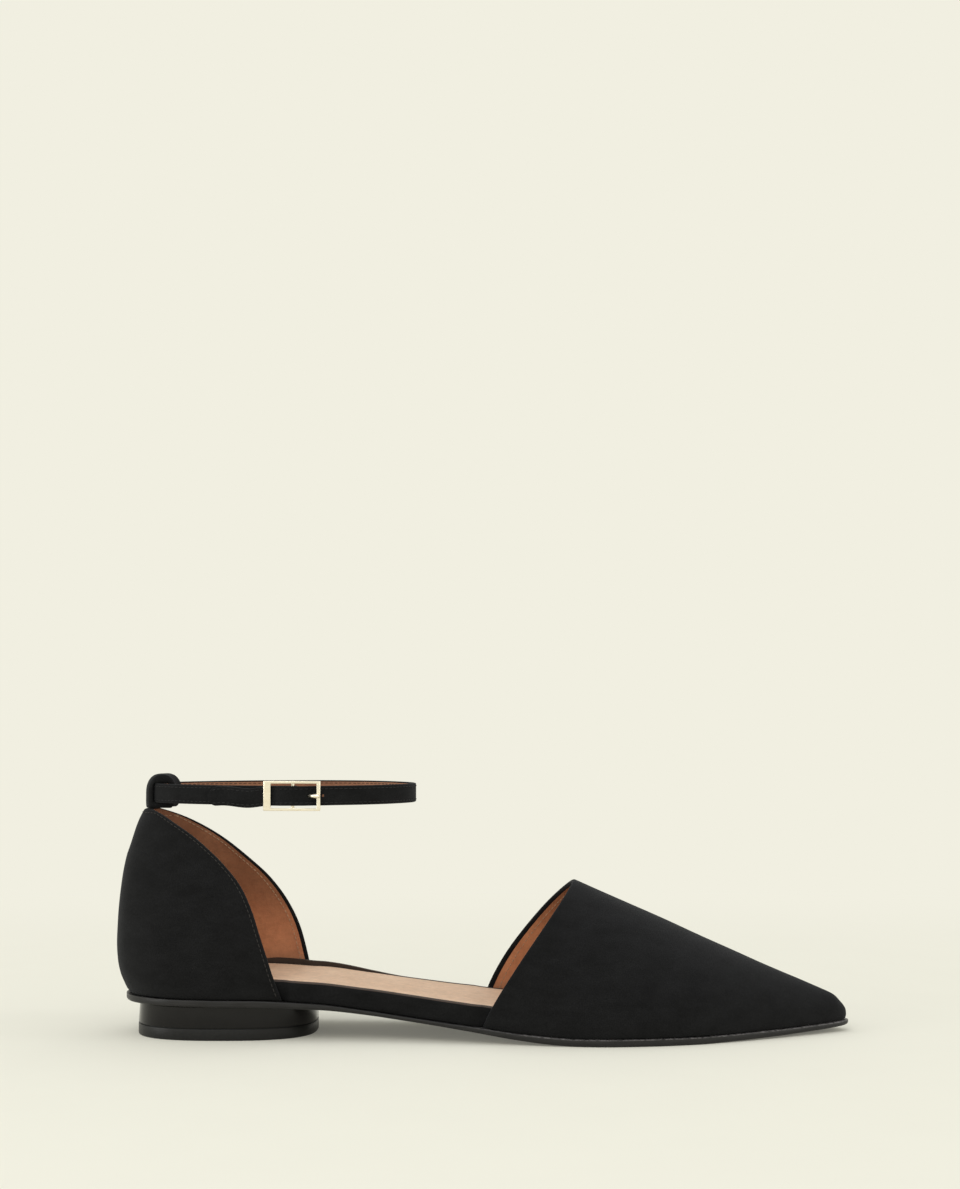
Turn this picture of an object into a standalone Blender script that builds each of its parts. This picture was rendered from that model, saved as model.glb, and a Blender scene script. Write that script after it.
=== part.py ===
"""A right shoe: pointed toe flat with an ankle strap, standing empty on its sole.

Metres, +Z up. The toe points to +X and the shoe's outer side is -Y. The origin is the centre
of the heel's underside, on the floor. Every table's lengths are shares of the named sizes.
"""

import math

import bmesh
import bpy
import numpy as np

MM = 0.001

# Overall sizes of the upper
SHOE_LENGTH = 263.1 * MM  # rearmost point of the counter to the tip of the toe
COUNTER_REACH = 40.6 * MM  # origin back to the rearmost point of the counter
COUNTER_TUCK = 4.4 * MM  # the counter's rearmost point stands this far behind the seat
COUNTER_HEIGHT = 65.2 * MM  # sole to the top of the quarter, at the back
QUARTER_REACH = 62.0 * MM  # rearmost point to the quarter's outer front edge, at the sole
BALL_WIDTH = 76.0 * MM
INSTEP_HEIGHT = 51.3 * MM  # sole to the crest of the throat
VAMP_LENGTH = 98.3 * MM  # crest of the throat to the tip of the toe
WING_LENGTH = 131.2 * MM  # back end of the vamp's wings, at the sole, to the tip of the toe
WALL = 1.8 * MM  # suede and lining together
GAP = 0.3 * MM  # between pieces that meet

# Sole, heel and insole
SEAT_RISE = 11.6 * MM  # floor to the sole's underside at the seat
TOE_SPRING = 2.2 * MM
SOLE_THICKNESS = 2.5 * MM
SOLE_PROUD = 0.7 * MM  # the sole's edge stands this far outside the upper
SOLE_EDGE_ROUND = 0.9 * MM
HEEL_LENGTH = 64.0 * MM
HEEL_WIDTH = 52.0 * MM
HEEL_DRAFT = 0.4 * MM  # the block is this much smaller all round at its top
HEEL_CORNER = 2.6  # exponent of the heel's rounded outline
TOP_PIECE_THICKNESS = 4.0 * MM
TOP_PIECE_ROUND = 0.5 * MM
INSOLE_THICKNESS = 7.0 * MM
INSOLE_GAP = 0.45 * MM  # between the insole's side and the shells round it
INSOLE_EDGE_ROUND = 1.0 * MM
INSOLE_WAIST_INSET = 0.6 * MM  # from the feather line, where no upper covers the insole
INSOLE_STEP = 3.0 * MM  # length over which the insole's side comes out past a shell's edge
NEAR_STEP = 0.3  # stations nearer than this share of a step to its ends are left out
LIP_RISE = 2.0 * MM  # how far the insole's inner rim stands up at the waist
RIM_WIDTH = 1.6 * MM
SOCK_THICKNESS = 0.8 * MM

# Shape of the shells
CUP_LENGTH = 60.0 * MM  # the counter's overhang fades out over this length
OUTER_SWEEP = 1.2  # above 1 the throat's edge bends forward towards its crest, outer side
INNER_SWEEP = 1.45  # and inner side
THROAT_FADE = 2.5  # how fast the sections turn upright from the throat to the toe
SIDE_SWELL = 0.035  # share by which the vamp's sides stand out over the feather line
OUTER_SLOPE = 1.15  # exponent of the vamp's section on the outer side
INNER_SLOPE = 1.0  # and on the inner side, which is fuller

# Ankle strap and its loop
STRAP_THICKNESS = 1.6 * MM
STRAP_HEIGHT = 6.8 * MM
STRAP_RING_LENGTH = 94.1 * MM
STRAP_RING_WIDTH = 55.6 * MM
STRAP_SETBACK = 3.5 * MM  # the collar's back forward to the middle of the strap's wall
FOLD_THICKNESS = 0.8 * MM  # the short end is skived where it folds round the bar
FOLD_RETURN = 3.5 * MM
SKIVE_LENGTH = 10.0 * MM
FREE_END_REACH = 30.3 * MM  # centre bar back to the strap's free tip
LOOP_LENGTH = 10.1 * MM  # the folded tab's outside, fore and aft
LOOP_WIDTH = 14.0 * MM
LOOP_WALL = 1.7 * MM  # the tab's thickness behind the strap and in front of it
LOOP_CROWN = 2.8 * MM  # and over the strap
LOOP_FOOT = 1.5 * MM  # and where it stands on the quarter
LOOP_ROOM = 0.5 * MM  # over and under the strap inside the loop
LOOP_BEND = 11.0 * MM  # radius at which the tab bends round the back of the strap
LOOP_ROUND = 2.2  # exponent of the tab's outside outline
LOOP_FOOT_CORNER = 6.0  # and of its lower back, which is squarer
LOOP_INSIDE_CORNER = 8.0  # and of its inside

# Buckle
BUCKLE_REACH = 52.8 * MM  # the strap's back forward to the centre bar
FRAME_LENGTH = 20.0 * MM
FRAME_THICKNESS = 1.0 * MM
RAIL_HEIGHT = 0.9 * MM
RAIL_ROOM = 0.9 * MM  # over and under the strap between the rails
PLATE_LENGTH = 2.6 * MM
END_BAR_LENGTH = 1.3 * MM
CENTRE_BAR_RADIUS = 0.6 * MM
PRONG_RADIUS = 0.55 * MM
PRONG_EYE_WALL = 0.5 * MM
PIN_SLENDER = 0.9  # the pin's radius as a share of the eye's half-width

# Resolution of the faceted surfaces
OUTLINE_STEPS = 40
SHELL_STEPS = 22
SECTION_STEPS = 10
QUARTER_STEPS = 14
ROUND_STEPS = 12
STRAP_STEPS = 64
ROUND_MIDDLE = 1 - math.sqrt(0.5)  # a quarter round's middle, from both faces, in radii

BACK_X = -COUNTER_REACH
SEAT_BACK_X = BACK_X + COUNTER_TUCK
TIP_X = BACK_X + SHOE_LENGTH
SOLE_LENGTH = TIP_X - SEAT_BACK_X
THROAT_X = TIP_X - VAMP_LENGTH
WING_X = TIP_X - WING_LENGTH
LOOP_HEIGHT = STRAP_HEIGHT + 2 * (LOOP_ROOM + LOOP_CROWN)
FRAME_HEIGHT = STRAP_HEIGHT + 2 * (RAIL_ROOM + RAIL_HEIGHT)
OUTER, INNER = -1, 1

# share of sole length, outer half-width, inner half-width, as shares of ball width
FEATHER_LINE = (
    (0.000, 0.000, 0.000),
    (0.019, 0.184, 0.184),
    (0.077, 0.318, 0.318),
    (0.143, 0.360, 0.354),
    (0.213, 0.366, 0.347),
    (0.290, 0.365, 0.322),
    (0.367, 0.374, 0.291),
    (0.445, 0.408, 0.290),
    (0.522, 0.454, 0.329),
    (0.599, 0.498, 0.405),
    (0.657, 0.517, 0.463),
    (0.715, 0.497, 0.483),
    (0.773, 0.450, 0.455),
    (0.831, 0.367, 0.374),
    (0.889, 0.267, 0.272),
    (0.947, 0.155, 0.157),
    (1.000, 0.000, 0.000),
)

# share of sole length, rise as a share of seat rise, of toe spring, thickness of the sole's
SOLE_PROFILE = (
    (0.000, 1.000, 0.00, 1.00),
    (0.174, 1.000, 0.00, 1.00),
    (0.271, 0.940, 0.00, 0.80),
    (0.336, 0.800, 0.00, 0.62),
    (0.383, 0.655, 0.00, 0.58),
    (0.433, 0.500, 0.00, 0.62),
    (0.483, 0.335, 0.00, 0.75),
    (0.541, 0.140, 0.00, 0.90),
    (0.591, 0.030, 0.00, 1.00),
    (0.622, 0.000, 0.00, 1.00),
    (0.773, 0.000, 0.00, 1.00),
    (0.870, 0.000, 0.24, 0.92),
    (0.947, 0.000, 0.60, 0.80),
    (1.000, 0.000, 1.00, 0.70),
)

# share of sole length, thickness of the insole's, rise of the inner lip's
INSOLE_PROFILE = (
    (0.000, 0.96, 0.00),
    (0.135, 0.96, 0.00),
    (0.205, 0.96, 1.00),
    (0.290, 0.96, 0.70),
    (0.387, 1.00, 0.00),
    (0.520, 1.00, 0.00),
    (0.622, 0.80, 0.00),
    (0.773, 0.60, 0.00),
    (0.900, 0.44, 0.00),
    (1.000, 0.36, 0.00),
)

# share of counter height, overhang as a share of counter tuck, half-width of the feather line's
CUP_PROFILE = (
    (0.000, 0.00, 1.000),
    (0.050, 0.36, 1.020),
    (0.106, 0.70, 1.035),
    (0.172, 0.90, 1.043),
    (0.271, 1.00, 1.035),
    (0.380, 0.95, 0.995),
    (0.590, 0.70, 0.875),
    (0.735, 0.32, 0.785),
    (0.800, 0.00, 0.750),
    (0.934, -0.66, 0.680),
    (1.000, -1.14, 0.650),
)

# share of counter height, outer reach, inner reach, as shares of quarter reach
QUARTER_EDGE = (
    (0.00, 1.000, 1.120),
    (0.10, 0.960, 1.095),
    (0.22, 0.918, 1.062),
    (0.34, 0.875, 1.020),
    (0.46, 0.830, 0.955),
    (0.59, 0.762, 0.853),
    (0.71, 0.658, 0.720),
    (0.80, 0.552, 0.606),
    (0.87, 0.455, 0.495),
    (0.93, 0.352, 0.380),
    (0.97, 0.277, 0.283),
    (1.00, 0.194, 0.194),
)

# shares of counter height at which the quarter is cut into rows, closer towards the collar
QUARTER_LEVELS = (
    *(0.0, 0.05, 0.10, 0.17, 0.25, 0.34, 0.43, 0.52, 0.61),
    *(0.69, 0.76, 0.82, 0.87, 0.91, 0.94, 0.97, 0.985, 1.0),
)

# share of vamp length from the throat, height of the crest as a share of instep height
CREST = (
    (0.000, 1.000),
    (0.166, 0.861),
    (0.343, 0.711),
    (0.518, 0.557),
    (0.695, 0.401),
    (0.869, 0.251),
    (0.912, 0.212),
    (0.957, 0.165),
    (0.979, 0.119),
    (1.000, 0.041),
)

# share of the ring's length from the back, half-width as a share of the ring's width
STRAP_RING = (
    (0.00, 0.00),
    (0.10, 0.25),
    (0.25, 0.39),
    (0.45, 0.48),
    (0.62, 0.50),
    (0.76, 0.46),
    (0.87, 0.36),
    (0.95, 0.22),
    (1.00, 0.00),
)

# Way of the strap's long end through the buckle, towards its tip:
# half frame lengths past the centre bar, share of one layer out, share of the way over the bar
WEAVE = (
    (-1.70, 0.10, 0.00),
    (-1.40, 0.40, 0.00),
    (-1.00, 0.88, 0.00),
    (-0.90, 0.88, 0.00),
    (-0.60, 0.60, 0.40),
    (-0.25, 0.10, 0.90),
    (0.00, 0.00, 1.00),
    (0.25, 0.10, 0.90),
    (0.55, 0.65, 0.35),
    (0.80, 1.00, 0.00),
    (1.00, 1.00, 0.00),
    (1.50, 1.00, 0.00),
)

# skive lengths back from the centre bar, share of the step in to the centre line, of full wall
SKIVE = (
    (0.30, 0.30, 0.00),
    (0.60, 0.60, 0.00),
    (0.80, 0.80, 0.50),
    (1.00, 1.00, 1.00),
)

# half frame lengths past the centre bar, share of the rise from the bar to the pin's rest
PIN_LINE = (
    (0.30, 0.00),
    (0.48, 0.20),
    (0.62, 0.50),
    (0.76, 0.90),
    (0.86, 1.00),
    (1.00, 1.00),
)

# half frame lengths past the centre bar between which the strap's hole lies
PRONG_HOLE = (0.38, 0.74)


def through(rows, column, at):
    """Values at `at` of the smooth curve through the rows' first column and this one.

    The curve keeps each stretch between two rows rising or falling as the rows do.
    """
    x = np.array([row[0] for row in rows], float)
    y = np.array([row[column] for row in rows], float)
    return hermite(x, y, at)


def hermite(x, y, at):
    step = np.diff(x)
    slope = np.diff(y) / step
    tangent = np.empty(len(x))
    tangent[0], tangent[-1] = slope[0], slope[-1]
    before, after = slope[:-1], slope[1:]
    same = before * after > 0
    weight_before = 2 * step[1:] + step[:-1]
    weight_after = step[1:] + 2 * step[:-1]
    safe_before = np.where(same, before, 1.0)
    safe_after = np.where(same, after, 1.0)
    total = weight_before + weight_after
    mean = total / (weight_before / safe_before + weight_after / safe_after)
    tangent[1:-1] = np.where(same, mean, 0.0)
    at = np.clip(np.asarray(at, float), x[0], x[-1])
    i = np.clip(np.searchsorted(x, at, side="right") - 1, 0, len(x) - 2)
    t = (at - x[i]) / step[i]
    rise = t * t * (3 - 2 * t)
    lead = t * (1 - t) ** 2 * step[i] * tangent[i]
    trail = t * t * (t - 1) * step[i] * tangent[i + 1]
    return y[i] + rise * (y[i + 1] - y[i]) + lead + trail


def smooth_step(low, high, at):
    t = np.clip((at - low) / (high - low), 0.0, 1.0)
    return t * t * (3 - 2 * t)


def turn_of(share):
    """The angle round a long oval at this share of its length: rounds the curve's two ends."""
    return np.arccos(np.clip(1 - 2 * np.asarray(share, float), -1.0, 1.0))


def share_of(turn):
    return (1 - np.cos(turn)) / 2


def sole_share(x):
    return (np.asarray(x, float) - SEAT_BACK_X) / SOLE_LENGTH


def feather_half_width(turn, side):
    column = 1 if side == OUTER else 2
    rows = [(float(turn_of(row[0])), row[column]) for row in FEATHER_LINE]
    return BALL_WIDTH * through(rows, 1, turn)


def feather_curve(turn, side, inset):
    """Plan points (x, half-width) of the feather line on one side, moved in by `inset`."""
    small = 1e-4
    turn = np.asarray(turn, float)
    x = SEAT_BACK_X + SOLE_LENGTH * share_of(turn)
    y = feather_half_width(turn, side)
    dx = SOLE_LENGTH * np.sin(turn) / 2
    ahead = np.clip(turn + small, 0, math.pi)
    behind = np.clip(turn - small, 0, math.pi)
    dy = (feather_half_width(ahead, side) - feather_half_width(behind, side)) / (ahead - behind)
    length = np.hypot(dx, dy)
    return x + inset * dy / length, y - inset * dx / length


def sole_underside(x):
    share = sole_share(x)
    rise = SEAT_RISE * through(SOLE_PROFILE, 1, share)
    return rise + TOE_SPRING * through(SOLE_PROFILE, 2, share)


def sole_top(x):
    return sole_underside(x) + SOLE_THICKNESS * through(SOLE_PROFILE, 3, sole_share(x))


def seat_for_upper(x):
    """Height at which insole and upper stand on the sole."""
    return sole_top(x) + GAP


def insole_top(x):
    return seat_for_upper(x) + INSOLE_THICKNESS * through(INSOLE_PROFILE, 1, sole_share(x))


def lip(x, side):
    if side == OUTER:
        return 0.0 * np.asarray(x)
    return LIP_RISE * through(INSOLE_PROFILE, 2, sole_share(x))


def plain_stations():
    return share_of(np.linspace(0, math.pi, OUTLINE_STEPS + 1))


def insole_stations():
    """Stations that also catch both ends of each step in the insole's side."""
    stations = list(plain_stations())
    low = SEAT_BACK_X + WALL + INSOLE_GAP
    length = SOLE_LENGTH - 2 * (WALL + INSOLE_GAP)
    near = NEAR_STEP * INSOLE_STEP / length
    for edge in step_edges():
        share = (edge - low) / length
        stations = [one for one in stations if abs(one - share) > near]
        stations.append(share)
    return np.array(sorted(stations))


def outline_ring(inset, height, stations):
    """A closed ring along the feather line: back point, outer side, tip, inner side.

    `inset` is a length, or a function of x and side. `height` is a function of x and side.
    """
    sides = {side: inset_curve(side, inset) for side in (OUTER, INNER)}
    low = max(sides[side][0][0] for side in sides)
    high = min(sides[side][0][-1] for side in sides)
    x = low + (high - low) * stations
    rows = {}
    for side, (at, half) in sides.items():
        y = np.interp(x, at, half)
        y[0] = y[-1] = 0.0
        rows[side] = np.stack([x, side * y, height(x, side)], axis=1)
    return np.concatenate([rows[OUTER], rows[INNER][-2:0:-1]])


def inset_curve(side, inset):
    """Plan points (x, half-width) of one side's feather line, moved in and with no overlap."""
    fine = np.linspace(0, math.pi, 60 * OUTLINE_STEPS)
    plain_x = SEAT_BACK_X + SOLE_LENGTH * share_of(fine)
    depth = inset(plain_x, side) if callable(inset) else inset
    x, y = feather_curve(fine, side, depth)
    kept = np.flatnonzero(y > 0)
    x, y = x[kept[0] : kept[-1] + 1], y[kept[0] : kept[-1] + 1]
    ahead = np.maximum.accumulate(x) <= x
    return x[ahead], y[ahead]


def rounded_ring(length, width, corner, height):
    """A closed ring round the origin with a superellipse's outline, ordered as outline_ring."""
    turn = np.linspace(math.pi, 3 * math.pi, 2 * OUTLINE_STEPS + 1)[:-1]
    power = 2 / corner
    x = length / 2 * np.sign(np.cos(turn)) * np.abs(np.cos(turn)) ** power
    y = width / 2 * np.sign(np.sin(turn)) * np.abs(np.sin(turn)) ** power
    return np.stack([x, y, height(x)], axis=1)


def material(name, colour, roughness, metallic=0.0):
    made = bpy.data.materials.new(name)
    made.use_nodes = True
    shader = made.node_tree.nodes["Principled BSDF"]
    shader.inputs["Base Color"].default_value = (*colour, 1.0)
    shader.inputs["Roughness"].default_value = roughness
    shader.inputs["Metallic"].default_value = metallic
    return made


def mesh_object(name, points, faces, finish):
    """An object from points and faces, with doubled points joined and normals facing out."""
    mesh = bpy.data.meshes.new(name)
    made = bmesh.new()
    corners = [made.verts.new(tuple(map(float, point))) for point in points]
    for face in faces:
        if len(set(face)) == len(face):
            made.faces.new([corners[i] for i in face])
    bmesh.ops.remove_doubles(made, verts=made.verts, dist=1e-7)
    bmesh.ops.recalc_face_normals(made, faces=made.faces)
    made.to_mesh(mesh)
    made.free()
    mesh.shade_smooth()
    mesh.set_sharp_from_angle(angle=math.radians(40))
    mesh.materials.append(finish)
    placed = bpy.data.objects.new(name, mesh)
    bpy.context.scene.collection.objects.link(placed)
    return placed


def ring_solid(name, rings, finish):
    """A closed solid through rings of equal count, capped across from side to side."""
    count = len(rings[0])
    faces = []
    for level in range(len(rings) - 1):
        low, high = level * count, (level + 1) * count
        for i in range(count):
            j = (i + 1) % count
            faces.append((low + i, low + j, high + j, high + i))
    half = count // 2
    for start in (0, (len(rings) - 1) * count):
        for i in range(half):
            across = (count - i) % count
            corners = (i, i + 1, count - i - 1, across)
            faces.append(tuple(start + corner for corner in dict.fromkeys(corners)))
    return mesh_object(name, np.concatenate(rings), faces, finish)


def shell_solid(name, outside, inside, finish, closed_end=False):
    """A wall between two grids of points, closed along its borders.

    With closed_end the last row of each grid folds onto itself and needs no border.
    """
    rows, columns = outside.shape[:2]
    points = np.concatenate([outside.reshape(-1, 3), inside.reshape(-1, 3)])
    offset = rows * columns
    faces = []

    def strip(corners):
        for a, b in zip(corners[:-1], corners[1:]):
            faces.append((a, b, b + offset, a + offset))

    for i in range(rows - 1):
        for j in range(columns - 1):
            a = i * columns + j
            quad = (a, a + 1, a + columns + 1, a + columns)
            faces.append(quad)
            faces.append(tuple(k + offset for k in quad[::-1]))
    strip([j for j in range(columns)])
    strip([i * columns for i in range(rows)])
    strip([i * columns + columns - 1 for i in range(rows)])
    if not closed_end:
        strip([(rows - 1) * columns + j for j in range(columns)])
    return mesh_object(name, points, faces, finish)


def outsole(finish):
    """The sole, with a vertical edge that is rounded under towards the tread."""

    def ring(inset, height):
        return outline_ring(inset - SOLE_PROUD, lambda x, side: height(x), plain_stations())

    middle = ROUND_MIDDLE * SOLE_EDGE_ROUND
    rings = [
        ring(SOLE_EDGE_ROUND, sole_underside),
        ring(middle, lambda x: sole_underside(x) + middle),
        ring(0.0, lambda x: sole_underside(x) + SOLE_EDGE_ROUND),
        ring(0.0, sole_top),
    ]
    return ring_solid("outsole", rings, finish)


def heel(block_finish, top_piece_finish):
    def ring(inset, height):
        return rounded_ring(HEEL_LENGTH - 2 * inset, HEEL_WIDTH - 2 * inset, HEEL_CORNER, height)

    def level(z):
        return lambda x: 0.0 * x + z

    rings = [
        ring(TOP_PIECE_ROUND, level(0.0)),
        ring(0.0, level(TOP_PIECE_ROUND)),
        ring(0.0, level(TOP_PIECE_THICKNESS)),
    ]
    ring_solid("heel_top_piece", rings, top_piece_finish)
    rings = [
        ring(0.0, level(TOP_PIECE_THICKNESS + GAP)),
        ring(HEEL_DRAFT, lambda x: sole_underside(x) - GAP),
    ]
    ring_solid("heel_block", rings, block_finish)


def quarter_front(side):
    """Where the quarter's front edge meets the sole."""
    return BACK_X + QUARTER_REACH * through(QUARTER_EDGE, 1 if side == OUTER else 2, 0.0)


def step_edges():
    """Where the insole's side starts and ends each step past a shell's edge."""
    edges = [WING_X - GAP - INSOLE_STEP, WING_X - GAP]
    for side in (OUTER, INNER):
        edges += [quarter_front(side) + GAP, quarter_front(side) + GAP + INSOLE_STEP]
    return edges


def covered_inset(x, side):
    """How far the insole's side lies in from the feather line: it clears both shells."""
    front = quarter_front(side) + GAP
    out = smooth_step(front, front + INSOLE_STEP, x)
    back = smooth_step(WING_X - GAP - INSOLE_STEP, WING_X - GAP, x)
    return WALL + INSOLE_GAP - (WALL + INSOLE_GAP - INSOLE_WAIST_INSET) * (out - back)


def flared(ring, share):
    """The ring with its heel end opened out as the counter opens at this share of height."""
    overhang, widening = cup_at(share)
    front = BACK_X + QUARTER_REACH
    fade = 1 - smooth_step(front - 2 * INSOLE_STEP, front + 2 * INSOLE_STEP, ring[:, 0])
    moved = ring.copy()
    moved[:, 0] -= overhang * cup_fade(ring[:, 0])
    moved[:, 1] *= 1 + (widening - 1) * fade
    return moved


def insole_rings():
    """Rings of the insole from its underside up its side and rim, and down to the sock's bed."""

    def ring(more, low_share, drop, raised):
        def inset(x, side):
            return covered_inset(x, side) + more

        def height(x, side):
            base, top = seat_for_upper(x), insole_top(x)
            return base + (top - base) * low_share - drop + (lip(x, side) if raised else 0.0)

        stands = insole_top(SEAT_BACK_X) - seat_for_upper(SEAT_BACK_X)
        opened = max(0.0, stands * low_share - drop) / COUNTER_HEIGHT
        return flared(outline_ring(inset, height, insole_stations()), opened)

    bed = SOCK_THICKNESS + GAP
    middle = ROUND_MIDDLE * INSOLE_EDGE_ROUND
    return [
        ring(0.0, 0.0, 0.0, False),
        ring(0.0, 1.0, INSOLE_EDGE_ROUND, True),
        ring(middle, 1.0, middle, True),
        ring(INSOLE_EDGE_ROUND, 1.0, 0.0, True),
        ring(RIM_WIDTH + INSOLE_EDGE_ROUND, 1.0, 0.0, True),
        ring(RIM_WIDTH + INSOLE_EDGE_ROUND, 1.0, bed, False),
    ]


def insole(finish):
    return ring_solid("insole", insole_rings(), finish)


def sock(finish):
    """The lining laid in the insole's bed."""

    def inset(x, side):
        return covered_inset(x, side) + RIM_WIDTH + INSOLE_EDGE_ROUND + GAP

    rings = []
    bed = SOCK_THICKNESS + GAP
    for drop in (SOCK_THICKNESS, 0.0):
        ring = outline_ring(
            inset, lambda x, side, drop=drop: insole_top(x) - drop, insole_stations()
        )
        stands = insole_top(SEAT_BACK_X) - seat_for_upper(SEAT_BACK_X)
        rings.append(flared(ring, (stands - bed) / COUNTER_HEIGHT))
    return ring_solid("sock", rings, finish)


def cup_at(share):
    """The counter's overhang and widening at this share of its height."""
    return COUNTER_TUCK * through(CUP_PROFILE, 1, share), through(CUP_PROFILE, 2, share)


def cup_fade(x):
    return np.clip(1 - (x - SEAT_BACK_X) / CUP_LENGTH, 0.0, 1.0)


def quarter_level(share, side, steps, inset):
    """One level of the quarter from the back to its front edge on one side."""
    overhang, widening = cup_at(share)
    column = 1 if side == OUTER else 2
    edge = BACK_X + QUARTER_REACH * through(QUARTER_EDGE, column, share)
    # The feather point that the overhang carries to the edge.
    lean = overhang / CUP_LENGTH
    start = (edge + overhang + lean * SEAT_BACK_X) / (1 + lean)
    end_turn = float(turn_of(sole_share(start)))
    turn = np.linspace(0, end_turn, steps + 1)

    def plan(at):
        x = SEAT_BACK_X + SOLE_LENGTH * share_of(at)
        y = widening * feather_half_width(np.abs(at), side)
        return x - overhang * cup_fade(x), np.where(at < 0, -y, y)

    small = 1e-3
    x, y = plan(turn)
    ahead, behind = plan(turn + small), plan(turn - small)
    dx, dy = ahead[0] - behind[0], ahead[1] - behind[1]
    length = np.hypot(dx, dy)
    z = seat_for_upper(x) + share * COUNTER_HEIGHT
    return np.stack([x + inset * dy / length, side * (y - inset * dx / length), z], axis=1)


def quarter_grid(inset):
    rows = []
    for share in QUARTER_LEVELS:
        outer = quarter_level(share, OUTER, QUARTER_STEPS, inset)
        inner = quarter_level(share, INNER, QUARTER_STEPS, inset)
        rows.append(np.concatenate([outer[::-1], inner[1:]]))
    return np.array(rows)


def upper_quarter(finish):
    return shell_solid("upper_quarter", quarter_grid(0.0), quarter_grid(WALL), finish)


def crest_point(x):
    """Height of the vamp's ridge over the sole, at x."""
    rows = [(math.sqrt(1 - share), height) for share, height in reversed(CREST)]
    rest = np.sqrt(np.clip((TIP_X - x) / VAMP_LENGTH, 0.0, 1.0))
    return INSTEP_HEIGHT * through(rows, 1, rest)


def vamp_grid(inset):
    """Sections of the vamp from the throat to the tip, each from outer to inner feather line."""
    share = np.linspace(0, 1, SHELL_STEPS + 1)
    first_turn = float(turn_of(sole_share(WING_X)))
    turn = first_turn + (math.pi - first_turn) * share

    def ridge(at):
        foot = SEAT_BACK_X + SOLE_LENGTH * share_of(first_turn + (math.pi - first_turn) * at)
        lead = (THROAT_X - WING_X) * np.clip(1 - at, 0.0, 1.0) ** THROAT_FADE
        x = np.minimum(foot + lead, TIP_X)
        return x, seat_for_upper(x) + crest_point(x)

    small = 1e-3
    ahead = ridge(np.minimum(share + small, 1.0))
    behind = ridge(np.maximum(share - small, 0.0))
    dx, dz = ahead[0] - behind[0], ahead[1] - behind[1]
    length = np.hypot(dx, dz)
    ridge_x, ridge_z = ridge(share)
    ridge_x = ridge_x + inset * dz / length
    ridge_z = ridge_z - inset * dx / length
    halves = {}
    shapes = ((OUTER, OUTER_SLOPE, OUTER_SWEEP), (INNER, INNER_SLOPE, INNER_SWEEP))
    for side, slope, sweep in shapes:
        foot_x, _ = feather_curve(turn, side, inset)
        foot_z = seat_for_upper(foot_x)
        plan_x, plan_y = inset_curve(side, inset)
        angle = np.linspace(0, math.pi / 2, SECTION_STEPS + 1)
        rise = np.sin(angle)
        across = np.clip(np.cos(angle), 0.0, 1.0) ** slope * (1 + SIDE_SWELL * np.sin(2 * angle))
        across[-1] = 0.0
        x = foot_x[:, None] + (ridge_x - foot_x)[:, None] * rise**sweep
        y = side * np.interp(x, plan_x, plan_y) * across
        y[-1] = 0.0
        z = foot_z[:, None] + (ridge_z - foot_z)[:, None] * rise
        halves[side] = np.stack([x, y, z], axis=2)
    return np.concatenate([halves[OUTER], halves[INNER][:, -2::-1]], axis=1)


def upper_vamp(finish):
    return shell_solid("upper_vamp", vamp_grid(0.0), vamp_grid(WALL), finish, closed_end=True)


def quarter_top():
    """Height of the collar at the back."""
    return seat_for_upper(SEAT_BACK_X) + COUNTER_HEIGHT


def strap_back():
    """Where the strap's wall has its middle at the back, measured from the collar."""
    overhang, _ = cup_at(1.0)
    return SEAT_BACK_X - overhang + STRAP_SETBACK


def strap_middle():
    """The middle of the strap's height: the loop's foot stands on the quarter under it."""
    return quarter_top() + GAP + LOOP_FOOT + LOOP_ROOM + STRAP_HEIGHT / 2


def heel_loop(finish):
    """The quarter's tab: a ring with a flat seat on the quarter, bent round the heel."""
    back_x = strap_back() - STRAP_THICKNESS / 2 - 2 * GAP - LOOP_WALL
    centre_x = back_x + LOOP_LENGTH / 2
    centre_z = strap_middle()
    seat_z = quarter_top() + GAP
    turn = np.linspace(0, 2 * math.pi, 2 * ROUND_STEPS + 1)[:-1]

    def section(length, height, corner):
        power = 2 / corner
        x = length / 2 * np.sign(np.cos(turn)) * np.abs(np.cos(turn)) ** power
        z = height / 2 * np.sign(np.sin(turn)) * np.abs(np.sin(turn)) ** power
        return centre_x + x, centre_z + z

    outside_x, outside_z = section(LOOP_LENGTH, LOOP_HEIGHT, LOOP_ROUND)
    square_x, square_z = section(LOOP_LENGTH, LOOP_HEIGHT, LOOP_FOOT_CORNER)
    lower_back = (outside_x < centre_x) & (outside_z < centre_z)
    outside_x = np.where(lower_back, square_x, outside_x)
    outside_z = np.maximum(np.where(lower_back, square_z, outside_z), seat_z)
    inside_length, inside_height = LOOP_LENGTH - 2 * LOOP_WALL, LOOP_HEIGHT - 2 * LOOP_CROWN
    inside_x, inside_z = section(inside_length, inside_height, LOOP_INSIDE_CORNER)
    count = len(turn)
    stations = np.linspace(-LOOP_WIDTH / 2, LOOP_WIDTH / 2, ROUND_STEPS // 2 + 1)
    points = []
    for y in stations:
        bend = y * y / (2 * LOOP_BEND)
        for x_row, z_row in ((outside_x, outside_z), (inside_x, inside_z)):
            points.append(np.stack([x_row + bend, np.full(count, y), z_row], axis=1))
    faces = []
    for k in range(len(stations) - 1):
        for layer in (0, 1):
            low = (2 * k + layer) * count
            high = low + 2 * count
            for i in range(count):
                j = (i + 1) % count
                faces.append((low + i, low + j, high + j, high + i))
    for k in (0, len(stations) - 1):
        low = 2 * k * count
        for i in range(count):
            j = (i + 1) % count
            faces.append((low + i, low + j, low + count + j, low + count + i))
    return mesh_object("heel_loop", np.concatenate(points), faces, finish)


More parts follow.
